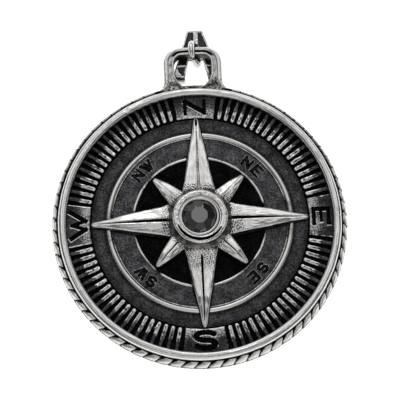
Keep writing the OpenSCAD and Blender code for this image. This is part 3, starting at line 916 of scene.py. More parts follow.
    def plates(self) -> Skin:
        """Builds the four letter plates with their cut letters."""
        s = self.sizes
        first_tick = 45 - (s.ticks_a_quarter - 1) / 2 * s.tick_pitch_deg
        reach = first_tick - s.tick_pitch_deg / 2
        radii = np.concatenate([
            np.linspace(s.tick_in_r - 0.3, s.tick_in_r + 0.04, 8),
            np.arange(s.tick_in_r + 0.1, s.rim_in_r + 0.16, 0.065),
        ])
        skins = []
        for i, (glyph, width, height) in enumerate(self.big_letters):
            mid = 90 - 90 * i
            turns = np.radians(np.arange(mid - reach, mid + reach + 0.01, 2 * reach / 108))
            grid = Relief(radii[:, None], turns[None, :])
            turn = math.radians(mid)
            up = grid.x * math.cos(turn) + grid.y * math.sin(turn) - (s.tick_in_r + s.rim_in_r) / 2
            right = grid.x * math.sin(turn) - grid.y * math.cos(turn)
            letter = glyph.depth_inside(right, up, width, height)
            edge = math.radians(s.plate_half_deg) - np.abs(grid.turns - turn)
            inside = np.minimum(edge * grid.radii, grid.radii - s.tick_in_r)
            floor = RIM_TOP - s.tick_floor + 0.02 * cast_waves(grid.x, grid.y, 0.8, 31 + i)
            top = RIM_TOP - s.tick_top - 0.08 * ramp(inside, 0.12, 0.0)
            z = floor + (top - floor) * ramp(inside, -0.08, 0.0)
            pebble = cast_waves(grid.x, grid.y, 0.36, 36 + i)
            z += (0.02 * cast_waves(grid.x, grid.y, 1.4, 46 + i) + 0.012 * pebble) * (inside > 0.1)
            cut = ramp(letter, -0.04, 0.1)
            lip = ramp(letter, -0.2, -0.08) * ramp(letter, 0.04, -0.04)
            z += 0.02 * lip - self.letter_cut * cut
            from_inner = grid.radii - s.tick_in_r + 0 * z
            from_side = edge * grid.radii
            patchy_polish = 0.9 + 0.25 * cast_waves(grid.x, grid.y, 1.1, 56 + i)
            low_line, side_line = self.plate_lines[i]
            polish = low_line * patchy_polish * ramp(np.abs(from_inner - 0.12), 0.24, 0.1) * (from_side > 0.02)
            polish = np.maximum(polish, side_line * patchy_polish * ramp(np.abs(from_side - 0.07), 0.14, 0.04))
            wiped = ramp(from_inner, 3.6, 0.4) * (0.5 + 0.12 * pebble)
            wiped = np.maximum(wiped, 0.62 * low_line * ramp(from_inner, 0.75, 0.3) * (0.9 + 0.4 * pebble))
            # The S reaches out to the rim, and there its lip gets no painted highlight.
            under_rim = ramp(from_inner, 2.7, 3.1) if glyph is Glyph.S else 0.0
            # Painted highlight: the lips of the letters whose walls look towards +Y are painted bright, as
            # if they caught the light from behind.
            lip_highlight = 0.9 * lip * ramp(self.faces_far(letter, grid), 0.1, 0.5) * (1 - under_rim)
            polish = np.maximum(np.maximum(polish, wiped), lip_highlight) * (1 - ramp(letter, -0.02, 0.06))
            polish = np.maximum(polish, 0.1 + 0 * z) * ramp(inside, -0.06, 0.02)
            soot = np.where(inside > 0, 0.12 + 0.3 * ramp(from_inner, 1.4, 3.0), 0.97)
            soot = np.maximum(soot, 1.2 * cut)
            skins.append(grid.skin(z, polish, soot, RIM_TOP - s.band_floor - 0.4, False))
        return Skin.joined(skins)

    @staticmethod
    def faces_far(depth: np.ndarray, grid: Relief) -> np.ndarray:
        """Tells where the wall of a cut letter looks towards +Y, the side whose lip gets the painted
        highlight.

        Args:
            depth: Depth inside the letter at each point.
            grid: Patch of the dial.

        Returns:
            1 where the wall looks straight to +Y, -1 where it looks to -Y.
        """
        by_row, by_column = np.gradient(depth)
        step_row = np.gradient(grid.radii + 0 * depth, axis=0)
        step_column = np.gradient(grid.turns + 0 * depth, axis=1) * (grid.radii + 0 * depth)
        outward, sideways = by_row / step_row, by_column / step_column
        turns = grid.turns + 0 * depth
        up = outward * np.sin(turns) + sideways * np.cos(turns)
        return up / np.maximum(np.hypot(outward, sideways), 0.05)

    def build(self) -> list[bpy.types.Object]:
        """Builds the dial's pieces."""
        return [
            self.floor().to_object("dial_floor", self.finish),
            self.ticks().to_object("tick_ring", self.finish),
            self.plates().to_object("letter_plates", self.finish),
        ]


@dataclass
class Edge:
    """The case's back, wall, polished rim and rope edge.

    Attributes:
        sizes: Sizes of the case.
        finish: Material of the rim.
        rope_finish: Material of the rope edge.
        back_finish: Material of the back and the wall.
        crown_power: Power of the rim's curve, 2 for a round one and more for a flatter crest.
        lobe_power: Power of the lobes' curve, 2 for a round one and less for a flatter face.
        lobe_steps: Number of points round the bead for each lobe.
        rise: Share of a lobe that climbs, low down and beside the rim.
        nose: Share of a lobe that its round nose takes.
        swell: How far the tumbled lobes stand past the mould's line.
    """

    sizes: CaseSizes
    finish: bpy.types.Material
    rope_finish: bpy.types.Material
    back_finish: bpy.types.Material
    crown_power: float = 2.3
    lobe_power: float = 1.4
    lobe_steps: int = 26
    rise: tuple[float, float] = (0.17, 0.83)
    nose: float = 0.13
    swell: float = 0.11

    def rim(self) -> Skin:
        """Builds the rim, a flat half-round with the ridges and slight waves that its turning left."""
        s = self.sizes
        half = s.rim_w / 2
        angles = np.concatenate([np.arange(-90, -60, 6.0), np.arange(-60, 61, 2.5), np.arange(66, 91, 6.0)])
        across = np.sin(np.radians(angles))
        crown = half * np.sqrt(1 - np.abs(across) ** self.crown_power)
        outline = np.column_stack([across[::-1] * half, crown[::-1]])
        foot = np.array([[-half, -0.3], [-half, -1.3], [half, -1.3], [half, -0.3]])
        outline = np.concatenate([outline, foot]) + [s.rim_r - half, RIM_TOP - half]
        high = np.concatenate([crown[::-1] / half, [-1.0] * 4])
        skin = revolve(outline, 900, ramp(high, -0.05, 0.3), 0.95 * ramp(high, 0.4, -0.1))
        x, y = skin.points[:, 0], skin.points[:, 1]
        out = np.hypot(x, y) - (s.rim_r - half)
        top = ramp(skin.points[:, 2], RIM_TOP - half, RIM_TOP - 0.35 * half)
        drift = 0.9 * cast_waves(x, y, 26.0, 44)
        strength = 0.6 + 0.4 * cast_waves(x, y, 9.0, 45) + 0.3 * cast_waves(x, y, 1.6, 46)
        fine = np.cos(TAU * out / (0.61 * s.ridge_pitch) - drift)
        ridges = np.cos(TAU * out / s.ridge_pitch + drift) + 0.5 * fine
        wave = 0.03 * cast_waves(x, y, 5.0, 41) + s.ridge_h * strength * ridges
        nick = Flaw(330.0, s.rim_r - half, 0.35, -0.12).height_at(x, y)
        # Painted reflection: the ridges' valleys are painted duller, which draws grey streaks along the
        # rim's highlight.
        skin.polish = skin.polish - 0.35 * top * ramp(strength * ridges, -0.45, -1.1)
        skin.points[:, 2] += top * np.minimum(wave - 0.02, 0.0) + top * nick
        skin.points[:, :2] *= (1 + 0.012 * cast_waves(x, y, 3.0, 43) / np.hypot(x, y))[:, None]
        return skin

    def rope(self) -> Skin:
        """Builds the rope edge as a round bead cut into overlapping leaf-shaped lobes.

        Each lobe starts low at the outside, climbs towards the rim as it turns left, and ends in a round
        nose. Beside the rim its shoulder falls away and leaves a dark three-cornered pocket.
        """
        s = self.sizes
        columns = s.rope_lobes * self.lobe_steps
        arc_deg = np.concatenate([[-150.0], np.arange(-96, 124, 7.0), [150.0]])[:, None]
        arc = np.radians(arc_deg)
        turn = np.arange(columns)[None, :] * TAU / columns
        mid_r = ROPE_R - s.rope_half
        lean = math.tan(math.radians(s.rope_lean_deg))
        slide = s.rope_half * np.minimum(arc, math.radians(75)) * lean / mid_r
        phase = (turn - slide) * s.rope_lobes / TAU
        u = phase - np.floor(phase)
        near_rim = ramp(arc_deg, 2, 56)
        far_side = ramp(np.sin(turn), -0.2, 0.7)
        beside = ramp(np.sin(turn), -0.9, -0.2)
        crevice = ramp(arc_deg + 9 * beside + 24 * far_side, 50, 59)
        rise = self.rise[0] + (self.rise[1] - self.rise[0]) * near_rim
        left = np.sin(math.pi / 2 * np.clip(u / rise, 0, 1))
        right = np.sin(math.pi / 2 * np.clip((1 - u) / self.nose, 0, 1))
        bulge = np.minimum(left ** (0.6 + 0.5 * near_rim), right**0.6)
        outer = (np.abs(arc_deg) < 126) * 1.0
        depth = outer * np.maximum((0.2 + 0.34 * near_rim) * (1 - bulge), 0.32 * crevice)
        bead_r = mid_r + s.rope_half * np.cos(arc)
        wave = 0.02 * np.minimum(cast_waves(bead_r * np.cos(turn), bead_r * np.sin(turn), 1.1, 51) - 1, 0)
        curve = np.abs(np.cos(arc)) ** self.lobe_power + np.abs(np.sin(arc)) ** self.lobe_power
        squash = np.where((arc > 0) & (arc < math.pi / 2), curve, 1.0) ** (-1 / self.lobe_power)
        swell = self.swell * np.maximum(np.cos(arc), 0)
        reach = s.rope_half * squash - depth + outer * (wave + swell)
        radius = mid_r + reach * np.cos(arc)
        z = RIM_TOP - s.rope_drop + reach * np.sin(arc)
        points = np.stack([radius * np.cos(turn), radius * np.sin(turn), z + 0 * turn], -1)
        faces = [tuple(reversed(face)) for face in grid_faces(len(arc), columns, True, True)]
        # Painted shade: the bead is painted dark below its outer middle line, where it turns under.
        polish = ramp(bulge, 0.45, 0.75) * outer * (1 - crevice) * ramp(arc_deg, 0, 17)
        soot = np.maximum(np.maximum(ramp(bulge, 0.7, 0.4) * outer, 1 - outer), crevice)
        return Skin(points.reshape(-1, 3), faces, polish.ravel(), soot.ravel())

    def shell(self) -> Skin:
        """Builds the plain back and wall as one turned solid."""
        s = self.sizes
        wall = s.rim_r - 0.3
        lid = RIM_TOP - s.well_floor - 0.12
        outline = np.array([
            (0.02, lid), (0.02, 0.0), (s.back_r - 0.1, 0.0), (s.back_r, 0.03), (wall - 0.08, 0.85),
            (wall, 1.0), (wall, RIM_TOP - s.rope_drop), (s.rim_in_r + 0.2, RIM_TOP - s.rope_drop),
            (s.rim_in_r + 0.2, RIM_TOP - s.band_floor - 0.2), (s.inner_ring_r + 0.2, lid),
        ])
        return revolve(outline, 360, np.full(len(outline), 0.8), np.full(len(outline), 0.3))

    def build(self) -> list[bpy.types.Object]:
        """Builds the edge's pieces."""
        return [
            self.shell().to_object("case_back", self.back_finish, 30.0),
            self.rim().to_object("case_rim", self.finish),
            self.rope().to_object("rope_edge", self.rope_finish, 75.0),
        ]


@dataclass
class CarryingLoop:
    """The loop cast onto the case, with an outer roll, a channel and a thin inner ridge.

    Attributes:
        sizes: Sizes of the case.
        finish: Material of the loop.
        half_w: Half width of the loop.
        corner_r: Radius of its outer corners.
        hole_half_w: Half width of its opening, which ends in a half circle at the rim.
        hole_corner_r: Radius of the opening's upper corners.
        bar_t: Width of the top bar.
        thick: Thickness from the front to the back.
        front_drop: How far the front lies below the rim's crest.
        foot_r: Radius of the fillets at the feet.
        roll_w: Width of the outer roll on the legs.
        bar_roll_w: Width of the outer roll on the bar.
        ridge_w: Width of the ridge round the opening.
        channel: Depth of the channel between roll and ridge.
        steps: Number of points from the foot to the middle of the bar.
    """

    sizes: CaseSizes
    finish: bpy.types.Material
    half_w: float = 4.58
    corner_r: float = 2.6
    hole_half_w: float = 2.88
    hole_corner_r: float = 1.35
    bar_t: float = 1.2
    thick: float = 2.1
    front_drop: float = 0.4
    foot_r: float = 1.6
    roll_w: float = 0.95
    bar_roll_w: float = 0.52
    ridge_w: float = 0.36
    channel: float = 0.26
    steps: int = 90

    @staticmethod
    def corner(x: float, y: float, radius: float, start: float, end: float, count: int) -> np.ndarray:
        """Gives points along an arc.

        Args:
            x: Centre's distance from the middle line.
            y: Centre's distance from the dial's centre.
            radius: Radius of the arc.
            start: First angle in degrees.
            end: Last angle in degrees.
            count: Number of points.

        Returns:
            The points as rows.
        """
        turn = np.radians(np.linspace(start, end, count))
        return np.column_stack([x + radius * np.cos(turn), y + radius * np.sin(turn)])

    def side_paths(self) -> tuple[np.ndarray, np.ndarray]:
        """Gives the right half of the inner and the outer outline, from the foot to the top's middle."""
        hole_y = self.sizes.rim_r + self.hole_half_w
        hole_top = LOOP_TOP - self.bar_t
        foot_x = self.half_w + self.foot_r
        foot_y = math.sqrt((ROPE_R - 0.35) ** 2 - foot_x**2)
        in_x, in_y = self.hole_half_w - self.hole_corner_r, hole_top - self.hole_corner_r
        out_x, out_y = self.half_w - self.corner_r, LOOP_TOP - self.corner_r
        inner = np.concatenate([
            self.corner(0, hole_y, self.hole_half_w, -82, 0, 26),
            [[self.hole_half_w, y] for y in np.linspace(hole_y, in_y, 8)[1:-1]],
            self.corner(in_x, in_y, self.hole_corner_r, 0, 90, 16),
            [[x, hole_top] for x in np.linspace(in_x, 0, 8)[1:]],
        ])
        outer = np.concatenate([
            self.corner(foot_x, foot_y + self.foot_r, self.foot_r, 262, 180, 14),
            [[self.half_w, y] for y in np.linspace(foot_y + self.foot_r, out_y, 12)[1:-1]],
            self.corner(out_x, out_y, self.corner_r, 0, 90, 20),
            [[x, LOOP_TOP] for x in np.linspace(out_x, 0, 8)[1:]],
        ])
        return inner, outer

    def matched(self) -> tuple[np.ndarray, np.ndarray]:
        """Gives as many points along each outline, paired across the loop and mirrored to both sides."""
        inner, outer = self.side_paths()
        # Share of the run, and index in side_paths, where each straight and each corner ends.
        keys_in = np.array([0.0, 0.42, 0.62, 0.82, 1.0])
        keys_out = np.array([0.0, 0.22, 0.62, 0.82, 1.0])
        corners_in = [0, 25, 32, 47, len(inner) - 1]
        corners_out = [0, 13, 24, 43, len(outer) - 1]
        share = np.linspace(0, 1, self.steps)

        def spread(path: np.ndarray, corners: list[int], keys: np.ndarray) -> np.ndarray:
            """Places points along a path so that its corners fall on the keys."""
            run = np.concatenate([[0], np.cumsum(np.hypot(*np.diff(path, axis=0).T))])
            at = np.interp(share, keys, run[corners])
            return np.column_stack([np.interp(at, run, path[:, k]) for k in (0, 1)])

        right_in = spread(inner, corners_in, keys_in)
        right_out = spread(outer, corners_out, keys_out)
        flip = np.array([-1.0, 1.0])
        return (
            np.concatenate([right_in, (right_in * flip)[-2::-1]]),
            np.concatenate([right_out, (right_out * flip)[-2::-1]]),
        )

    def skin(self) -> Skin:
        """Builds the loop as a run of sections from its right foot to its left."""
        inner, outer = self.matched()
        front = RIM_TOP - self.front_drop
        back = front - self.thick
        across = np.linspace(0, 1, 40)
        width = np.hypot(*(outer - inner).T)[:, None]
        base = inner[:, None, :] + (outer - inner)[:, None, :] * across[None, :, None]
        d_in = across[None, :] * width
        d_out = (1 - across[None, :]) * width
        roll_w = np.interp(width, [self.bar_t, 1.7], [self.bar_roll_w, self.roll_w])
        roll = half_round(d_out - roll_w / 2, roll_w)
        ridge = half_round(d_in - self.ridge_w / 2, self.ridge_w)
        on_roll = d_out < roll_w / 2
        z = front - roll_w / 2 + roll
        z = np.where(on_roll, z, np.maximum(z, front - self.channel))
        z = np.where(on_roll, z, np.maximum(z, front - self.ridge_w / 2 + ridge - 0.02))
        x, y = base[..., 0], base[..., 1]
        foot = ramp(np.hypot(x, y), 24.0, 22.6)
        z = z + 0.012 * cast_waves(x, y, 1.0, 61) + 0.045 * foot * cast_waves(x, y, 0.7, 62)
        z = np.minimum(z, front + 0.02)
        z = z - 0.25 * ramp(np.hypot(x, y), 23.2, 21.6)
        # The back's edges are rounded, more on the outside.
        rows = len(inner)
        slope = (outer - inner) / width
        under_in = np.column_stack([inner, np.full(rows, back + 0.15)])
        under_out = np.column_stack([outer, np.full(rows, back + 0.3)])
        soft_in = np.column_stack([inner + slope * 0.15, np.full(rows, back)])
        soft_out = np.column_stack([outer - slope * 0.25, np.full(rows, back)])
        top = np.stack([x, y, z], -1)
        sections = np.concatenate(
            [under_in[:, None], top, under_out[:, None], soft_out[:, None], soft_in[:, None]], axis=1
        )
        # The channel stayed grey on the legs and black on the bar, and the jump ring's seat is painted dark
        # as the ring's shadow.
        hollow = (d_out > roll_w * 0.92) & (d_in > self.ridge_w * 1.05)
        on_bar = hollow * ramp(y, LOOP_TOP - 1.7, LOOP_TOP - 1.1)
        by_ring = ramp(np.abs(x), 0.6, 0.35) * ramp(y, LOOP_TOP - 1.6, LOOP_TOP - 1.2)
        black_bar_and_ring_shadow = np.maximum(on_bar, by_ring)
        polish = np.where(hollow, 0.62 + 0.12 * cast_waves(x, y, 1.5, 63), 0.95)
        polish = polish * (1 - foot * hollow * (0.3 + 0.2 * cast_waves(x, y, 0.6, 64))) * (1 - black_bar_and_ring_shadow)
        # Painted shade: the opening's inner wall, from the top's inner edge down to the back, is painted
        # dark, while the outer wall stays light.
        polish[:, 0] = 0.1
        soot = np.maximum(0.15 + 0.25 * foot * hollow, black_bar_and_ring_shadow)
        edge = np.zeros((rows, 1))
        polish = np.concatenate([edge + 0.05, polish, edge + 0.9, edge + 0.8, edge + 0.6], axis=1)
        soot = np.concatenate([edge + 0.55, soot, edge + 0.1, edge + 0.2, edge + 0.4], axis=1)
        return loft(sections, polish, soot)

    def build(self) -> list[bpy.types.Object]:
        """Builds the loop."""
        return [self.skin().to_object("carrying_loop", self.finish)]


class Blade(Enum):
    """Outlines of the arms: distances back from the tip and the half widths there, in millimetres."""

    LONG = (
        (0.0, 0.15, 0.55, 1.55, 2.75, 4.55, 6.15, 6.95, 8.15, 10.55, 11.65, 13.05),
        (0.03, 0.2, 0.35, 0.5, 0.68, 1.05, 1.38, 1.5, 1.7, 2.12, 2.4, 2.62),
    )
    SHORT = (
        (0.0, 0.08, 0.3, 0.75, 2.35, 6.3),
        (0.03, 0.17, 0.29, 0.42, 0.87, 1.6),
    )


@dataclass
class Arm:
    """One arm of the rose, a blade with a grooved crest.

    Attributes:
        clock_deg: Heading of the arm, clockwise from +Y.
        reach: Distance of the tip from the centre.
        blade: Outline of the arm.
        crest: Height of the crest above the edges at the hub.
        pebble_r: Distance from the centre where the mould's pebbled grain ends.
        groove_w: Width of the groove along the crest at the hub.
        groove_depth: Depth of the groove.
        groove_soot: How dark the groove is.
        groove_polish: How far the groove is polished.
        groove_start: Distance from the centre where the groove starts.
        groove_taper: How closely the groove's width follows the arm's.
        tip_hollow: Share of the width that a hollow near the tip takes.
    """

    clock_deg: float
    reach: float
    blade: Blade
    crest: float
    pebble_r: float
    groove_w: float = 0.46
    groove_depth: float = 0.5
    groove_soot: float = 1.0
    groove_polish: float = 0.0
    groove_start: float = 3.8
    groove_taper: float = 1.0
    tip_hollow: float = 0.0

    def half_width(self, from_tip: np.ndarray) -> np.ndarray:
        """Half width of the blade at a distance from its round tip."""
        stations, widths = self.blade.value
        return np.interp(from_tip, stations, widths)

    def groove_half(self, radius: np.ndarray, width: np.ndarray) -> np.ndarray:
        """Half width of the groove, and of the hollow near the tip, at a distance from the centre."""
        shape = (width / width[0]) ** self.groove_taper
        fade = ramp(radius, self.reach - 0.3, self.reach - 1.6)
        fade = fade * ramp(radius, self.groove_start, self.groove_start + 0.9)
        half = np.minimum(self.groove_w / 2 * shape, 0.42 * width) * fade
        hollow = ramp(radius, self.reach - 1.6, self.reach - 1.2)
        hollow = hollow * ramp(radius, self.reach - 0.15, self.reach - 0.35)
        return np.maximum(np.maximum(half, self.tip_hollow * width * hollow), 0.004)


@dataclass
class CompassRose:
    """The raised rose: eight arms, the hub with its round ring, and the bezel.

    Attributes:
        finish: Material of the rose and the bezel.
        start_r: Radius inside the hub where the arms start.
        hub_r: Outer radius of the hub's ring.
        ring_w: Width of the hub's ring.
        fillet_r: Outer radius of the fillet round the hub's foot.
        bore_r: Radius of the bore under the stone.
        edge_t: Height of an arm's edges above its foot, at the hub.
        seat_gap: Clearance under the bezel.
        bezel_wall: Thickness of the bezel's wall.
        foot_w: How far an arm's foot stands out at its tip.
        draft: How much more it stands out at the hub.
        solder_drop: Depth of the solder below the bezel's lip.
        crescent_r: Radius of the dark crescent, a groove cut and painted black where the bezel's shadow
            falls.
        crescent_w: Greatest width of that gap.
        crescent_depth: Depth of that gap.
        crescent_clock: Angles clockwise from +Y where the gap starts and ends.
    """

    finish: bpy.types.Material
    start_r: float = 3.4
    hub_r: float = 4.2
    ring_w: float = 0.98
    fillet_r: float = 5.2
    bore_r: float = 2.3
    edge_t: float = 0.85
    seat_gap: float = 0.05
    bezel_wall: float = 0.45
    foot_w: float = 0.12
    draft: float = 0.26
    solder_drop: float = 0.06
    crescent_r: float = 3.55
    crescent_w: float = 0.38
    crescent_depth: float = 0.7
    crescent_clock: tuple[float, float] = (119.0, 250.0)

    def arms(self) -> list[Arm]:
        """Lists the eight arms, each as the mould left it."""
        reach = float(ROSE_HIGH[0])
        short = reach * 0.59
        plain = {"groove_w": 0.1, "groove_depth": 0.05, "groove_soot": 0.3, "groove_polish": 0.6}
        return [
            Arm(0.3, reach, Blade.LONG, 0.3, 6.2, groove_w=0.6, groove_depth=0.2, groove_soot=0.2,
                groove_polish=0.52, tip_hollow=0.5),
            Arm(90.3, reach, Blade.LONG, 0.32, 8.0, groove_w=0.62),
            Arm(180.0, reach, Blade.LONG, 0.32, 9.4, groove_w=0.42, groove_start=5.2, groove_taper=0.45),
            Arm(-90.2, reach, Blade.LONG, 0.32, 6.6, groove_w=0.62),
            Arm(45.0, short + 0.05, Blade.SHORT, 0.27, 6.8, **plain),
            Arm(135.3, short, Blade.SHORT, 0.27, 5.4, groove_w=0.3),
            Arm(-135.4, short, Blade.SHORT, 0.27, 5.4, groove_w=0.3),
            Arm(-44.7, short, Blade.SHORT, 0.27, 6.8, **plain),
        ]

    @staticmethod
    def mirrored(marks: Sequence[float]) -> np.ndarray:
        """Mirrors one half's marks across the crest, as a row for all stations."""
        return np.concatenate([marks, marks[::-1]])[None, :]

    def blade(self, arm: Arm, seed: int) -> Skin:
        """Builds one arm.

        Each section runs from the foot up the wall, the slope and into the groove, and down the other side.

        Args:
            arm: Sizes and place of the arm.
            seed: Seed of its unevenness.

        Returns:
            The closed skin.
        """
        under = float(ROSE_LOW[2])
        length = arm.reach - self.start_r
        pebbled = np.arange(self.start_r, min(arm.pebble_r + 0.8, arm.reach - 1.2), 0.085)
        rest = np.linspace(pebbled[-1] + 0.15, arm.reach - 0.8, 40)
        end = 0.75 * np.linspace(1, 0, 16) ** 1.7
        from_tip = np.concatenate([arm.reach - pebbled, arm.reach - rest, end])
        along = 1 - from_tip / length
        tip = ramp(from_tip, -0.02, 0.3)
        width = arm.half_width(from_tip)
        share_high = np.interp(along, [0, 0.19, 0.65, 0.96, 1.0], [1.0, 0.98, 0.8, 0.32, 0.24])
        groove = arm.groove_half(arm.reach - from_tip, width)[:, None]
        crest = (arm.crest * share_high * (0.35 + 0.65 * tip))[:, None]
        edge = (under + self.edge_t * share_high * (0.5 + 0.5 * tip))[:, None]
        draft = (self.foot_w + self.draft * width / width[0])[:, None] * tip[:, None]
        width = width[:, None]
        share = np.concatenate([[0.0], np.linspace(0.03, 0.96, 20), [1.0]])
        slope_x = width - (width - groove) * share
        inner_fall = 0.07 * ramp(width - slope_x, width - groove - 0.16, width - groove)
        outer_fall = 0.06 * ramp(width - slope_x, 0.16, 0.0)
        slope_z = edge + crest * (share + 0.16 * share * (1 - share)) - outer_fall - inner_fall
        floor_x = groove * np.array([0.75, 0.35])
        floor_z = edge + crest - 0.05 - np.minimum(2.2 * groove, arm.groove_depth) * np.array([0.75, 1.0])
        wall_x = width + draft * np.array([1.0, 0.12])
        wall_z = np.concatenate([under + 0 * edge, edge - 0.1 * (edge - under) - 0.06], axis=1)
        half_x = np.concatenate([wall_x, slope_x, floor_x], axis=1)
        half_z = np.concatenate([wall_z, slope_z, floor_z], axis=1)
        x = np.concatenate([half_x, -half_x[:, ::-1]], axis=1)
        z = np.concatenate([half_z, half_z[:, ::-1]], axis=1)
        y = (arm.reach - from_tip)[:, None] + 0 * x
        root = ramp(y, arm.pebble_r, max(arm.pebble_r - 2.6, self.hub_r + 1.0))
        # Painted shade, with the mould's pebbling: the root is made darker on the arm's side towards -Y,
        # away from the light.
        root = root * (0.7 + 0.3 * ramp(math.sin(math.radians(arm.clock_deg)) * x / width, -0.3, 0.3))
        pits = cast_waves(x, y, 0.3, seed)
        streak = cast_waves(x, y / 4, 0.5, seed + 2)
        on_slope = self.mirrored([0.0] * 2 + [1.0] * len(share) + [0.0] * 2)
        z = z + on_slope * (0.02 * cast_waves(x, y, 2.2, seed + 1) + 0.008 * streak + 0.034 * root * pits)
        polish, soot = self.blade_finish(arm, y, root, pits, streak)
        turn = math.radians(-arm.clock_deg)
        spin = np.array([
            [math.cos(turn), -math.sin(turn), 0], [math.sin(turn), math.cos(turn), 0], [0, 0, 1],
        ])
        sections = np.stack([x, y, z], -1) @ spin.T
        return loft(sections[:, ::-1], polish[:, ::-1], soot[:, ::-1])

    def blade_finish(
        self, arm: Arm, y: np.ndarray, root: np.ndarray, pits: np.ndarray, streak: np.ndarray
    ) -> tuple[np.ndarray, np.ndarray]:
        """Tells how an arm is polished and blackened.

        Args:
            arm: Sizes and place of the arm.
            y: Distance of each point from the centre.
            root: How pebbled the arm is there, darker on its side towards -Y as painted shade, from 0 to 1.
            pits: Height of the pebbles.
            streak: Height of the polishing streaks.

        Returns:
            The polish and the soot at each point.
        """
        steps = y.shape[1] // 2 - 4
        on_slope = self.mirrored([0.0] * 2 + [1.0] * steps + [0.0] * 2)
        on_wall = self.mirrored([1.0] * 2 + [0.0] * (steps + 2))
        in_groove = self.mirrored([0.0] * (steps + 2) + [1.0] * 2)
        edges = self.mirrored([0.0, 0.0, 0.95, 0.9, 0.4] + [0.0] * (steps - 4) + [0.9, 0.0, 0.0])
        by_hub = ramp(y, self.hub_r + 0.9, self.hub_r)
        bare = 1 - root * (0.18 + 0.7 * ramp(pits, 0.2, -0.6)) - 0.6 * by_hub
        bare = bare - 0.08 * ramp(streak, 0.3, 1.0)
        polish = on_slope * np.maximum(bare, edges * (1 - 0.6 * by_hub))
        soot = 0.15 + 0.35 * root
        polish = np.where(on_wall > 0, 0.3, polish)
        soot = np.where(on_wall > 0, 0.1, soot)
        hollow = arm.tip_hollow * ramp(y, arm.reach - 1.7, arm.reach - 1.4)
        polish = np.where(in_groove > 0, arm.groove_polish * (1 - ramp(hollow, 0.1, 0.4)), polish)
        soot = np.where(in_groove > 0, np.maximum(arm.groove_soot, 1.8 * hollow), soot)
        return polish, soot

    def hub(self) -> Skin:
        """Builds the hub with its round ring, seat and the cast fillet round its foot."""
        under, top = float(ROSE_LOW[2]), float(ROSE_HIGH[2])
        radius = self.ring_w / 2
        mid = self.hub_r - radius
        arc = np.radians(np.arange(0, 91, 4.5))
        ring = np.column_stack([mid + radius * np.cos(arc), top - radius + radius * np.sin(arc)])
        inward = np.linspace(0, 1, 14)[1:]
        plateau = np.column_stack([mid - 0.46 * inward, top - 0.08 * inward**2])
        step = np.array([[3.21, top - 0.13], [3.17, top - 0.22], [3.15, top - 0.32]])
        ring = np.concatenate([ring, plateau, step])
        seat_z = float(BEZEL_LOW[2]) - self.seat_gap
        solder_z = float(BEZEL_HIGH[2]) - self.solder_drop
        fillet = np.array([
            [self.fillet_r, under + 0.45], [4.95, under + 0.75], [4.7, under + 1.1],
            [4.45, under + 1.5], [4.27, under + 1.95],
        ])
        solder = np.array([[3.12, solder_z + 0.02], [3.05, solder_z], [2.98, solder_z]])
        inside = np.array([[2.98, seat_z], [self.bore_r, seat_z], [self.bore_r, under]])
        outline = np.concatenate([[[self.fillet_r, under]], fillet, ring, solder, inside])
        ring_polish = ramp(ring[:, 1], top - radius, top - radius + 0.2)
        polish = np.concatenate([np.full(6, 0.5), ring_polish, np.full(3, 0.9), np.zeros(3)])
        soot = np.concatenate([np.full(6, 0.0), np.full(len(ring), 0.5), np.full(3, 0.3), np.ones(3)])
        skin = revolve(outline, 360, polish, soot)
        x, y = skin.points[:, 0], skin.points[:, 1]
        high = ramp(skin.points[:, 2], top - 0.6, top)
        dent = np.minimum(0.045 * cast_waves(x, y, 1.1, 71) + 0.018 * cast_waves(x, y, 0.5, 73), 0)
        gap = self.crescent(x, y) * (skin.points[:, 2] > solder_z - 0.01)
        skin.points[:, 2] += high * dent - self.crescent_depth * gap
        skin.polish -= high * 0.28 * ramp(cast_waves(x, y, 0.8, 72), 0.5, 1.2)
        # Painted shadow: the crescent is left unpolished and painted black.
        skin.polish *= 1 - ramp(gap, 0.2, 0.6)
        skin.soot = np.maximum(skin.soot, ramp(gap, 0.1, 0.6))
        return skin

    def crescent(self, x: np.ndarray, y: np.ndarray) -> np.ndarray:
        """Marks the dark crescent on the side away from the loop, a groove cut and painted black as the
        bezel's shadow, with thin ends.
        """
        radius = np.hypot(x, y)
        clock = np.degrees(np.arctan2(x, y)) % 360
        start, end = self.crescent_clock
        share = np.abs(clock - (start + end) / 2) / ((end - start) / 2)
        width = self.crescent_w * np.sqrt(np.clip(1 - share**2, 0, 1))
        aside = np.abs(radius - self.crescent_r)
        return ramp(aside, width / 2 + 0.06, width / 2 - 0.04) * (width > 0.03)

    def bezel(self) -> Skin:
        """Builds the bezel, whose lip was pressed over the stone and burnished."""
        low, high = BEZEL_LOW, BEZEL_HIGH
        centre = (low + high) / 2
        outer = float(high[0] - low[0]) / 2
        wall = self.bezel_wall
        arc = np.radians(np.arange(0, 181, 10))
        lip = np.column_stack([
            outer - wall / 2 + wall / 2 * np.cos(arc), high[2] - wall / 2 + wall / 2 * np.sin(arc)
        ])
        ledge = np.array([
            [outer - wall, high[2] - 0.36], [outer - wall - 0.3, high[2] - 0.7],
            [outer - wall - 0.3, low[2]], [outer, low[2]],
        ])
        outline = np.concatenate([lip, ledge])
        polish = np.concatenate([ramp(lip[:, 1], high[2] - 0.4, high[2] - 0.15), np.zeros(4)])
        soot = np.concatenate([np.full(len(lip), 0.8), np.ones(4)])
        skin = revolve(outline, 192, polish, soot)
        skin.points[:, 0] += centre[0]
        skin.points[:, 1] += centre[1]
        x, y = skin.points[:, 0], skin.points[:, 1]
        top = ramp(skin.points[:, 2], high[2] - 0.2, high[2])
        skin.points[:, 2] += top * np.minimum(0.02 * cast_waves(x, y, 1.4, 75), 0)
        return skin

    def build(self) -> tuple[bpy.types.Object, bpy.types.Object]:
        """Builds the rose with its hub, and the bezel."""
        parts = [self.blade(arm, 80 + 3 * i) for i, arm in enumerate(self.arms())]
        rose = Skin.joined(parts + [self.hub()]).to_object("rose_arms_and_hub", self.finish, 40.0)
        return rose, self.bezel().to_object("bezel_lip", self.finish)


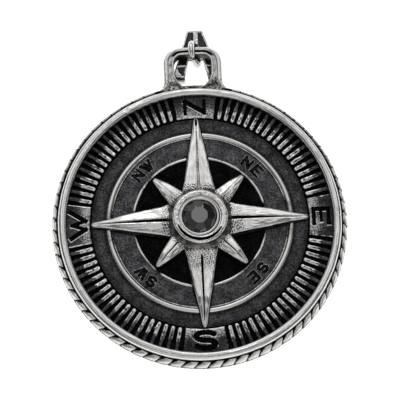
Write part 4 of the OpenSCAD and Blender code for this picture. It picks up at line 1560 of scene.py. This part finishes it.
@dataclass
class JumpRing:
    """The oval ring of round wire, bent shut with a hairline seam at its back.

    Attributes:
        finish: Material of the wire.
        wire: Diameter of the wire.
        inner_half: Half width of the ring's inside.
        yaw_deg: Turn of the ring about +Y.
        tilt_deg: Lean of the ring about +X.
        seam_deg: Half the angle that the seam leaves open.
        quarter_steps: Number of points round a quarter of the oval's bends.
        wire_steps: Number of points round the wire.
    """

    finish: bpy.types.Material
    wire: float = 0.95
    inner_half: float = 0.783
    yaw_deg: float = 13.0
    tilt_deg: float = 4.5
    seam_deg: float = 1.2
    quarter_steps: int = 14
    wire_steps: int = 20

    def skin(self) -> Skin:
        """Builds the wire along the oval."""
        radius = self.inner_half + self.wire / 2
        centre = (RING_LOW + RING_HIGH) / 2
        yaw, tilt = math.radians(self.yaw_deg), math.radians(self.tilt_deg)
        reach = (RING_HIGH[2] - RING_LOW[2]) / 2 / math.cos(yaw)
        straight = reach - radius - self.wire / 2
        gap = math.radians(self.seam_deg)
        quarter, half = self.quarter_steps, 2 * self.quarter_steps + 1
        arc = np.concatenate([
            np.linspace(-math.pi / 2 + gap, 0, quarter),
            np.linspace(0, math.pi, half),
            np.linspace(math.pi, 1.5 * math.pi - gap, quarter),
        ])
        side = np.concatenate([np.full(quarter, -1.0), np.full(half, 1.0), np.full(quarter, -1.0)])
        path = np.column_stack([0 * arc, radius * np.cos(arc), radius * np.sin(arc) + side * straight])
        out = np.column_stack([0 * arc, np.cos(arc), np.sin(arc)])
        around = np.arange(self.wire_steps) * TAU / self.wire_steps
        wire = self.wire / 2
        sections = (
            path[:, None]
            + wire * np.cos(around)[None, :, None] * out[:, None]
            + wire * np.sin(around)[None, :, None] * np.array([1.0, 0, 0])
        )
        spin = Matrix.Rotation(-yaw, 3, "Y")
        lean = Matrix.Rotation(tilt, 3, "X")
        turned = sections @ np.array(spin @ lean).T
        turned += centre
        # The frame's box sets the ring's middle.
        low, high = turned.reshape(-1, 3).min(0), turned.reshape(-1, 3).max(0)
        turned += centre - (low + high) / 2
        inside = ramp(-np.cos(around), 0.3, 0.7)[None, :] + np.zeros(turned.shape[:2])
        return loft(turned, 0.95 * (1 - inside), 0.2 + 0.7 * inside)

    def build(self) -> bpy.types.Object:
        """Builds the ring."""
        return self.skin().to_object("jump_ring_wire", self.finish)


@dataclass
class Bail:
    """The folded open-work bail: a plate with an eye, and two rails that run round the fold.

    Attributes:
        finish: Material of the bail.
        band_t: Thickness of the folded band.
        end_half: Half width at the narrow end.
        flare: How much the half width grows over each millimetre towards the fold.
        window_half: Half width of the window at its far end.
        window_top: Distance of the window's far end from the dial's centre.
        eye_y: Distance of the eye's middle from the dial's centre.
        eye_x: Place of the eye's middle across the pendant.
        eye_r: Radius of the eye.
        border: Width of the border at the sides of the plate's panels.
        margin: Width of the border at the ends of the plate's panels.
        rib_half: Half width of the plate's middle rib.
        sink: Depth of the plate's panels.
        rail_sink: Depth of the rails' dark wedge.
        rib_y: Distance of the rails' cross rib from the dial's centre.
        tip_y: Distance of the dark wedge's end from the dial's centre.
        joggle: How far before the window's far end the back leaf starts to rise, outside and inside.
    """

    finish: bpy.types.Material
    band_t: float = 0.5
    end_half: float = 1.2
    flare: float = 0.33
    window_half: float = 1.1
    window_top: float = 27.24
    eye_y: float = 29.0
    eye_x: float = 0.745
    eye_r: float = 0.725
    border: float = 0.3
    margin: float = 0.25
    rib_half: float = 0.36
    sink: float = 0.15
    rail_sink: float = 0.12
    rib_y: float = 26.1
    tip_y: float = 24.3
    joggle: tuple[float, float] = (1.9, 1.8)

    @property
    def mid_x(self) -> float:
        """Middle line of the bail."""
        return float(BAIL_LOW[0] + BAIL_HIGH[0]) / 2

    @property
    def fold_r(self) -> float:
        """Outer radius of the fold."""
        return float(BAIL_HIGH[2] - BAIL_LOW[2]) / 2

    @property
    def fold_y(self) -> float:
        """Distance of the fold's axis from the dial's centre."""
        return float(BAIL_LOW[1]) + self.fold_r

    def half_w(self, y: np.ndarray) -> np.ndarray:
        """Half width of the outline at a distance from the dial's centre."""
        return self.end_half + self.flare * (BAIL_HIGH[1] - np.maximum(y, self.fold_y))

    def window_w(self, y: np.ndarray) -> np.ndarray:
        """Half width of the window at a distance from the dial's centre."""
        return self.window_half + self.flare * (self.window_top - np.maximum(y, self.fold_y))

    def plate(self) -> bpy.types.Object:
        """Builds the plate of the two joined leaves, with sunk panels and a drilled eye."""
        front = float(BAIL_HIGH[2])
        ys = np.linspace(self.window_top, BAIL_HIGH[1], 60)[:, None]
        across = np.linspace(-1, 1, 61)[None, ::-1]
        half = self.half_w(ys)
        x = self.mid_x + across * half
        from_side = half * (1 - np.abs(across))
        from_rib = np.abs(x - self.eye_x) - self.rib_half
        from_top = BAIL_HIGH[1] - self.margin - ys
        from_low = ys - self.window_top - self.margin
        inside = np.minimum(np.minimum(from_side - self.border, from_rib), np.minimum(from_top, from_low))
        panel = ramp(inside, -0.04, 0.06)
        z = front - 0.05 * ramp(from_side, 0.12, 0.0) - self.sink * panel
        z = z + 0.02 * cast_waves(x, ys + 0 * x, 0.8, 91) * (1 - panel) - 0.02
        top = np.stack([x, ys + 0 * x, z], -1)
        polish = np.where(panel > 0.5, 0.0, 0.9)
        skin = slab(top, polish, 0.3 * panel + 0.1, front - 2 * self.band_t, False)
        piece = skin.to_object("bail_plate", self.finish)
        bpy.ops.mesh.primitive_cylinder_add(
            vertices=48, radius=self.eye_r * MM, depth=4 * MM,
            location=(self.eye_x * MM, self.eye_y * MM, (front - self.band_t) * MM),
        )
        drill = bpy.context.object
        cut = piece.modifiers.new("eye", "BOOLEAN")
        cut.operation = "DIFFERENCE"
        cut.object = drill
        cut.solver = "EXACT"
        depsgraph = bpy.context.evaluated_depsgraph_get()
        drilled = bpy.data.meshes.new_from_object(piece.evaluated_get(depsgraph))
        piece.modifiers.remove(cut)
        piece.data = drilled
        bpy.data.objects.remove(drill)
        return piece

    def rail(self, side: int) -> Skin:
        """Builds one rail, from the plate's front round the fold and back to the plate.

        Args:
            side: 1 for the rail on +X, -1 for the other.

        Returns:
            The closed skin.
        """
        front, back = float(BAIL_HIGH[2]), float(BAIL_LOW[2])
        mid_z = (front + back) / 2
        t = self.band_t
        bend = np.linspace(math.pi / 2, 1.5 * math.pi, 40)
        pinch = self.window_top + 0.1
        flat_y = np.linspace(pinch, self.fold_y, 26)[:-1]
        flat_z = np.full(len(flat_y), front)
        inner_r = self.fold_r - t
        start_out, start_in = self.joggle
        outer_y = np.concatenate([
            flat_y, self.fold_y + self.fold_r * np.cos(bend), [self.window_top - start_out, pinch]
        ])
        outer_z = np.concatenate([flat_z, mid_z + self.fold_r * np.sin(bend), [back, front - 2 * t]])
        inner_y = np.concatenate([
            flat_y, self.fold_y + inner_r * np.cos(bend), [self.window_top - start_in, pinch]
        ])
        inner_z = np.concatenate([flat_z - t, mid_z + inner_r * np.sin(bend), [back + t, front - t]])
        rows = len(outer_y)
        # The dark wedge runs down the front and a third of the way round the fold.
        front_rows = len(flat_y) + len(bend) // 3
        across = np.linspace(0, 1, 15)
        lo, hi = self.window_w(outer_y)[:, None], self.half_w(outer_y)[:, None]
        wide = lo + (hi - lo) * across
        d = np.minimum(across, 1 - across) * (hi - lo)
        in_front = (np.arange(rows) < front_rows)[:, None]
        in_front = in_front * ramp(outer_y, self.tip_y, self.tip_y + 0.2)[:, None]
        wedge = np.interp(outer_y, [self.tip_y, self.rib_y], [0.3, 1.0])[:, None]
        rib = ramp(np.abs(outer_y - self.rib_y), 0.14, 0.24)[:, None]
        panel = ramp(d, 0.1, 0.2) * ramp(across, wedge, wedge - 0.12) * rib * in_front
        sink = self.rail_sink * panel
        crown = 0.06 * ramp(d, 0.12, 0.0)
        depth_y = (outer_y - inner_y)[:, None] / t
        depth_z = (outer_z - inner_z)[:, None] / t
        y_out = outer_y[:, None] - depth_y * (sink + crown)
        z_out = outer_z[:, None] - depth_z * (sink + crown)
        x_out = self.mid_x + side * wide
        outside = np.stack([x_out, y_out, z_out], -1)
        x_in = self.mid_x + side * np.concatenate([hi, lo], axis=1)
        inside = np.stack([x_in, inner_y[:, None] + 0 * x_in, inner_z[:, None] + 0 * x_in], -1)
        sections = np.concatenate([outside, inside], axis=1)
        polish = np.concatenate([np.where(panel > 0.4, 0.0, 0.95), np.full((rows, 2), 0.7)], axis=1)
        soot = np.concatenate([0.3 * panel, np.full((rows, 2), 0.3)], axis=1)
        order = slice(None, None, -1) if side > 0 else slice(None)
        return loft(sections[:, order], polish[:, order], soot[:, order])

    def build(self) -> list[bpy.types.Object]:
        """Builds the plate and the rails."""
        rails = Skin.joined([self.rail(1), self.rail(-1)])
        return [self.plate(), rails.to_object("bail_rails", self.finish)]


@dataclass(frozen=True)
class Studio:
    """Pale floor, soft light and the camera at the photograph's angle.

    Attributes:
        tilt_deg: Tilt of the line of sight from straight down.
        roll_deg: Turn of the pendant in the picture, anticlockwise.
        heading_deg: Turn of the tilt's direction in the picture.
        distance: From the centre of the rim's top to the camera, in millimetres.
        view_w: Width of the view at that distance, in millimetres.
        centre_px: Where the rim's centre falls in the picture, in pixels from the left and the top.
        picture_px: Width and height of the picture in pixels.
        sensor_mm: Width of the camera's sensor.
        floor_half: Half width of the floor in metres.
        floor_drop: How far the floor lies below the pendant's back, in metres.
        floor_glow: How brightly the floor shines by itself.
        roof: Brightness of the tent's top, one large soft light.
        roof_centre: Brightness of the light's middle, where the camera looks through the tent.
        centre_lean_deg: How far that dim middle leans from straight up towards +Y.
        centre_half_deg: Half angle of the dim middle's even part.
        centre_fade_deg: Width of the dim middle's soft border.
        skirt: Brightness of the grey cloth round the tent's middle.
        foot: Brightness that the white paper adds round the tent's foot.
        foot_rise: Rise of the line of sight, as a sine, where the paper's light starts and is full.
        fold_size: Coarseness of the cloth's folds.
        light_lean_deg: How far the light's middle leans from straight up towards +Y.
        light_half_deg: Half angle of the light's even part.
        light_fade_deg: Width of the light's soft border.
        card: Brightness of the white card on the camera's side.
        card_lean_deg: How far the card's middle leans from straight up towards +Y.
        card_half_deg: Half angle of the card.
        box_place: Where the soft box behind the pendant hangs, in metres.
        box_size: Width of the soft box's face in metres.
        box_power: Power of the soft box in watts.
    """

    tilt_deg: float = 16.56
    roll_deg: float = 2.57
    heading_deg: float = 2.21
    distance: float = 204.0
    view_w: float = 60.0
    centre_px: tuple[float, float] = (200.07, 219.11)
    picture_px: float = 400.0
    sensor_mm: float = 36.0
    floor_half: float = 0.6
    floor_drop: float = 0.00002
    floor_glow: float = 0.75
    roof: float = 1.35
    roof_centre: float = 0.8
    centre_lean_deg: float = 16.5
    centre_half_deg: float = 12.0
    centre_fade_deg: float = 18.0
    skirt: float = 0.16
    foot: float = 0.6
    foot_rise: tuple[float, float] = (0.36, 0.14)
    fold_size: float = 2.6
    light_lean_deg: float = 30.0
    light_half_deg: float = 32.0
    light_fade_deg: float = 14.0
    card: float = 0.6
    card_lean_deg: float = -50.0
    card_half_deg: float = 22.0
    box_place: tuple[float, float, float] = (-0.05, 0.46, 0.47)
    box_size: float = 0.15
    box_power: float = 0.12

    def camera(self) -> None:
        """Places the camera."""
        tilt, heading = math.radians(self.tilt_deg), math.radians(self.heading_deg)
        turn = heading + math.radians(self.roll_deg)
        level = Vector((math.cos(turn), -math.sin(turn), 0))
        rise = Vector((math.sin(turn) * math.cos(tilt), math.cos(turn) * math.cos(tilt), math.sin(tilt)))
        right = math.cos(heading) * level + math.sin(heading) * rise
        up = math.cos(heading) * rise - math.sin(heading) * level
        towards = right.cross(up)
        data = bpy.data.cameras.new("view")
        data.sensor_width = self.sensor_mm
        data.lens = self.sensor_mm * self.distance / self.view_w
        data.clip_start = 0.01
        data.clip_end = 5.0
        data.shift_x = (self.picture_px / 2 - self.centre_px[0]) / self.picture_px
        data.shift_y = (self.centre_px[1] - self.picture_px / 2) / self.picture_px
        camera = bpy.data.objects.new("view", data)
        bpy.context.scene.collection.objects.link(camera)
        camera.matrix_world = Matrix.Translation(
            (Vector((0, 0, RIM_TOP)) + towards * self.distance) * MM
        ) @ Matrix((right, up, towards)).transposed().to_4x4()
        bpy.context.scene.camera = camera

    def floor(self) -> None:
        """Lays the pale floor, a sheet of white acrylic with a soft light under it."""
        made, nodes = node_material("white_acrylic_lit_below")
        shader = nodes.add(
            "ShaderNodeBsdfPrincipled",
            {
                "Base Color": linear("#fbfbfb"),
                "Roughness": 0.9,
                "Emission Color": linear("#ffffff"),
                "Emission Strength": self.floor_glow,
            },
        ).outputs[0]
        nodes.add("ShaderNodeOutputMaterial", {"Surface": shader})
        half, z = self.floor_half, -self.floor_drop
        mesh = bpy.data.meshes.new("floor")
        mesh.from_pydata(
            [(-half, -half, z), (half, -half, z), (half, half, z), (-half, half, z)], [], [(0, 1, 2, 3)]
        )
        mesh.materials.append(made)
        floor = bpy.data.objects.new("floor", mesh)
        bpy.context.scene.collection.objects.link(floor)

    @staticmethod
    def disc(nodes: Nodes, way: bpy.types.NodeSocket, lean: float, half: float, fade: float) -> Any:
        """Marks a soft disc on the sky.

        Args:
            nodes: Node tree of the world.
            way: Direction that is looked up.
            lean: How far the disc's middle leans from straight up towards +Y, in degrees.
            half: Half angle of its even part in degrees.
            fade: Width of its soft border in degrees.

        Returns:
            An output that is 1 inside the disc and 0 outside.
        """
        axis = (0.0, math.sin(math.radians(lean)), math.cos(math.radians(lean)))
        near = nodes.add("ShaderNodeVectorMath", {0: way, 1: axis}, operation="DOT_PRODUCT").outputs["Value"]
        limits = {"From Min": math.cos(math.radians(half + fade)), "From Max": math.cos(math.radians(half))}
        return nodes.add(
            "ShaderNodeMapRange", {"Value": near, **limits}, interpolation_type="SMOOTHSTEP"
        ).outputs[0]

    def tent(self) -> None:
        """Lights the pendant as a tent does that is lit from above and behind and grey round its foot."""
        world = bpy.data.worlds.new("light_tent")
        world.use_nodes = True
        bpy.context.scene.world = world
        nodes = Nodes(world.node_tree)
        way = nodes.add("ShaderNodeTexCoord").outputs["Generated"]
        wide = self.disc(nodes, way, self.light_lean_deg, self.light_half_deg, self.light_fade_deg)
        middle = self.disc(nodes, way, self.centre_lean_deg, self.centre_half_deg, self.centre_fade_deg)
        lit = nodes.add(
            "ShaderNodeMapRange", {"Value": wide, "To Min": self.skirt, "To Max": self.roof}
        ).outputs[0]
        rise = nodes.add("ShaderNodeSeparateXYZ", {0: way}).outputs["Z"]
        start, full = self.foot_rise
        paper = nodes.add(
            "ShaderNodeMapRange",
            {"Value": rise, "From Min": start, "From Max": full, "To Max": self.foot},
            interpolation_type="SMOOTHSTEP",
        ).outputs[0]
        card = self.disc(nodes, way, self.card_lean_deg, self.card_half_deg, self.light_fade_deg)
        # The dim middle takes from the roof's light, and the paper and the card add to it.
        glow = lit
        for share, strength in ((middle, self.roof_centre - self.roof), (paper, 1.0), (card, self.card)):
            glow = nodes.add(
                "ShaderNodeMath", {0: share, 1: strength, 2: glow}, operation="MULTIPLY_ADD"
            ).outputs[0]
        # The cloth's folds are as wide as the tent, so their scale is that of the unit sky.
        folds = nodes.add(
            "ShaderNodeTexNoise", {"Vector": way, "Scale": self.fold_size, "Detail": 2.0}
        ).outputs["Fac"]
        uneven = nodes.add(
            "ShaderNodeMapRange",
            {"Value": folds, "From Min": 0.35, "From Max": 0.65, "To Min": 0.72, "To Max": 1.28},
        ).outputs[0]
        glow = nodes.add("ShaderNodeMath", {0: glow, 1: uneven}, operation="MULTIPLY").outputs[0]
        shade = nodes.add("ShaderNodeBackground", {"Color": linear("#ffffff"), "Strength": glow}).outputs[0]
        nodes.add("ShaderNodeOutputWorld", {"Surface": shade})

    def lamp(self) -> None:
        """Hangs a soft box behind the pendant, facing it."""
        data = bpy.data.lights.new("box_behind", "AREA")
        data.shape = "SQUARE"
        data.size = self.box_size
        data.energy = self.box_power
        lamp = bpy.data.objects.new("box_behind", data)
        bpy.context.scene.collection.objects.link(lamp)
        lamp.location = self.box_place
        lamp.rotation_euler = (-Vector(self.box_place)).to_track_quat("-Z", "Y").to_euler()

    def build(self) -> None:
        """Sets up the view, the floor and the light."""
        self.camera()
        self.floor()
        self.tent()
        self.lamp()
        bpy.context.scene.view_settings.view_transform = "Standard"


def place(pieces: Iterable[bpy.types.Object], slot: str, *nodes: str) -> None:
    """Puts pieces in the frame.

    Args:
        pieces: Pieces that ride on the pendant's one body.
        slot: Name of a material slot; not used.
        *nodes: Frame nodes that they stand for.
    """
    for piece in pieces:
        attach(piece, "root")
        if nodes:
            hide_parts(*nodes)
        LOG.info("%s: %d faces", piece.name, len(piece.data.polygons))


def main() -> None:
    """Builds the pendant, its finishes and the studio."""
    logging.basicConfig(level=logging.INFO, format="%(name)s: %(message)s")
    Studio().build()
    cast = BlackenedSteel().material()
    plain = BlackenedSteel(name="cast_steel_satin", wear=0.2, steel_rough=0.32, steel="#c4c3c1").material()
    tumbled = BlackenedSteel(name="cast_steel_tumbled", steel_rough=0.34, steel="#d8d7d4").material()
    bright = BlackenedSteel(name="steel_polished", wear=0.3, grain_depth_mm=0.015).material()
    sizes = CaseSizes()
    place(Dial(sizes, cast).build(), "antiqued_steel", "compass_case")
    place(Edge(sizes, cast, tumbled, plain).build(), "antiqued_steel", "compass_case")
    place(CarryingLoop(sizes, cast).build(), "antiqued_steel", "compass_case")
    rose, bezel = CompassRose(cast).build()
    place([rose], "polished_steel", "compass_rose")
    place([bezel], "polished_steel", "stone_bezel")
    place([JumpRing(bright).build()], "polished_steel", "jump_ring")
    place(Bail(bright).build(), "polished_steel", "bail")
    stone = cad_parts["black_stone"]
    stone.data.materials.clear()
    stone.data.materials.append(CutStone().material())


if __name__ == "__main__":
    main()
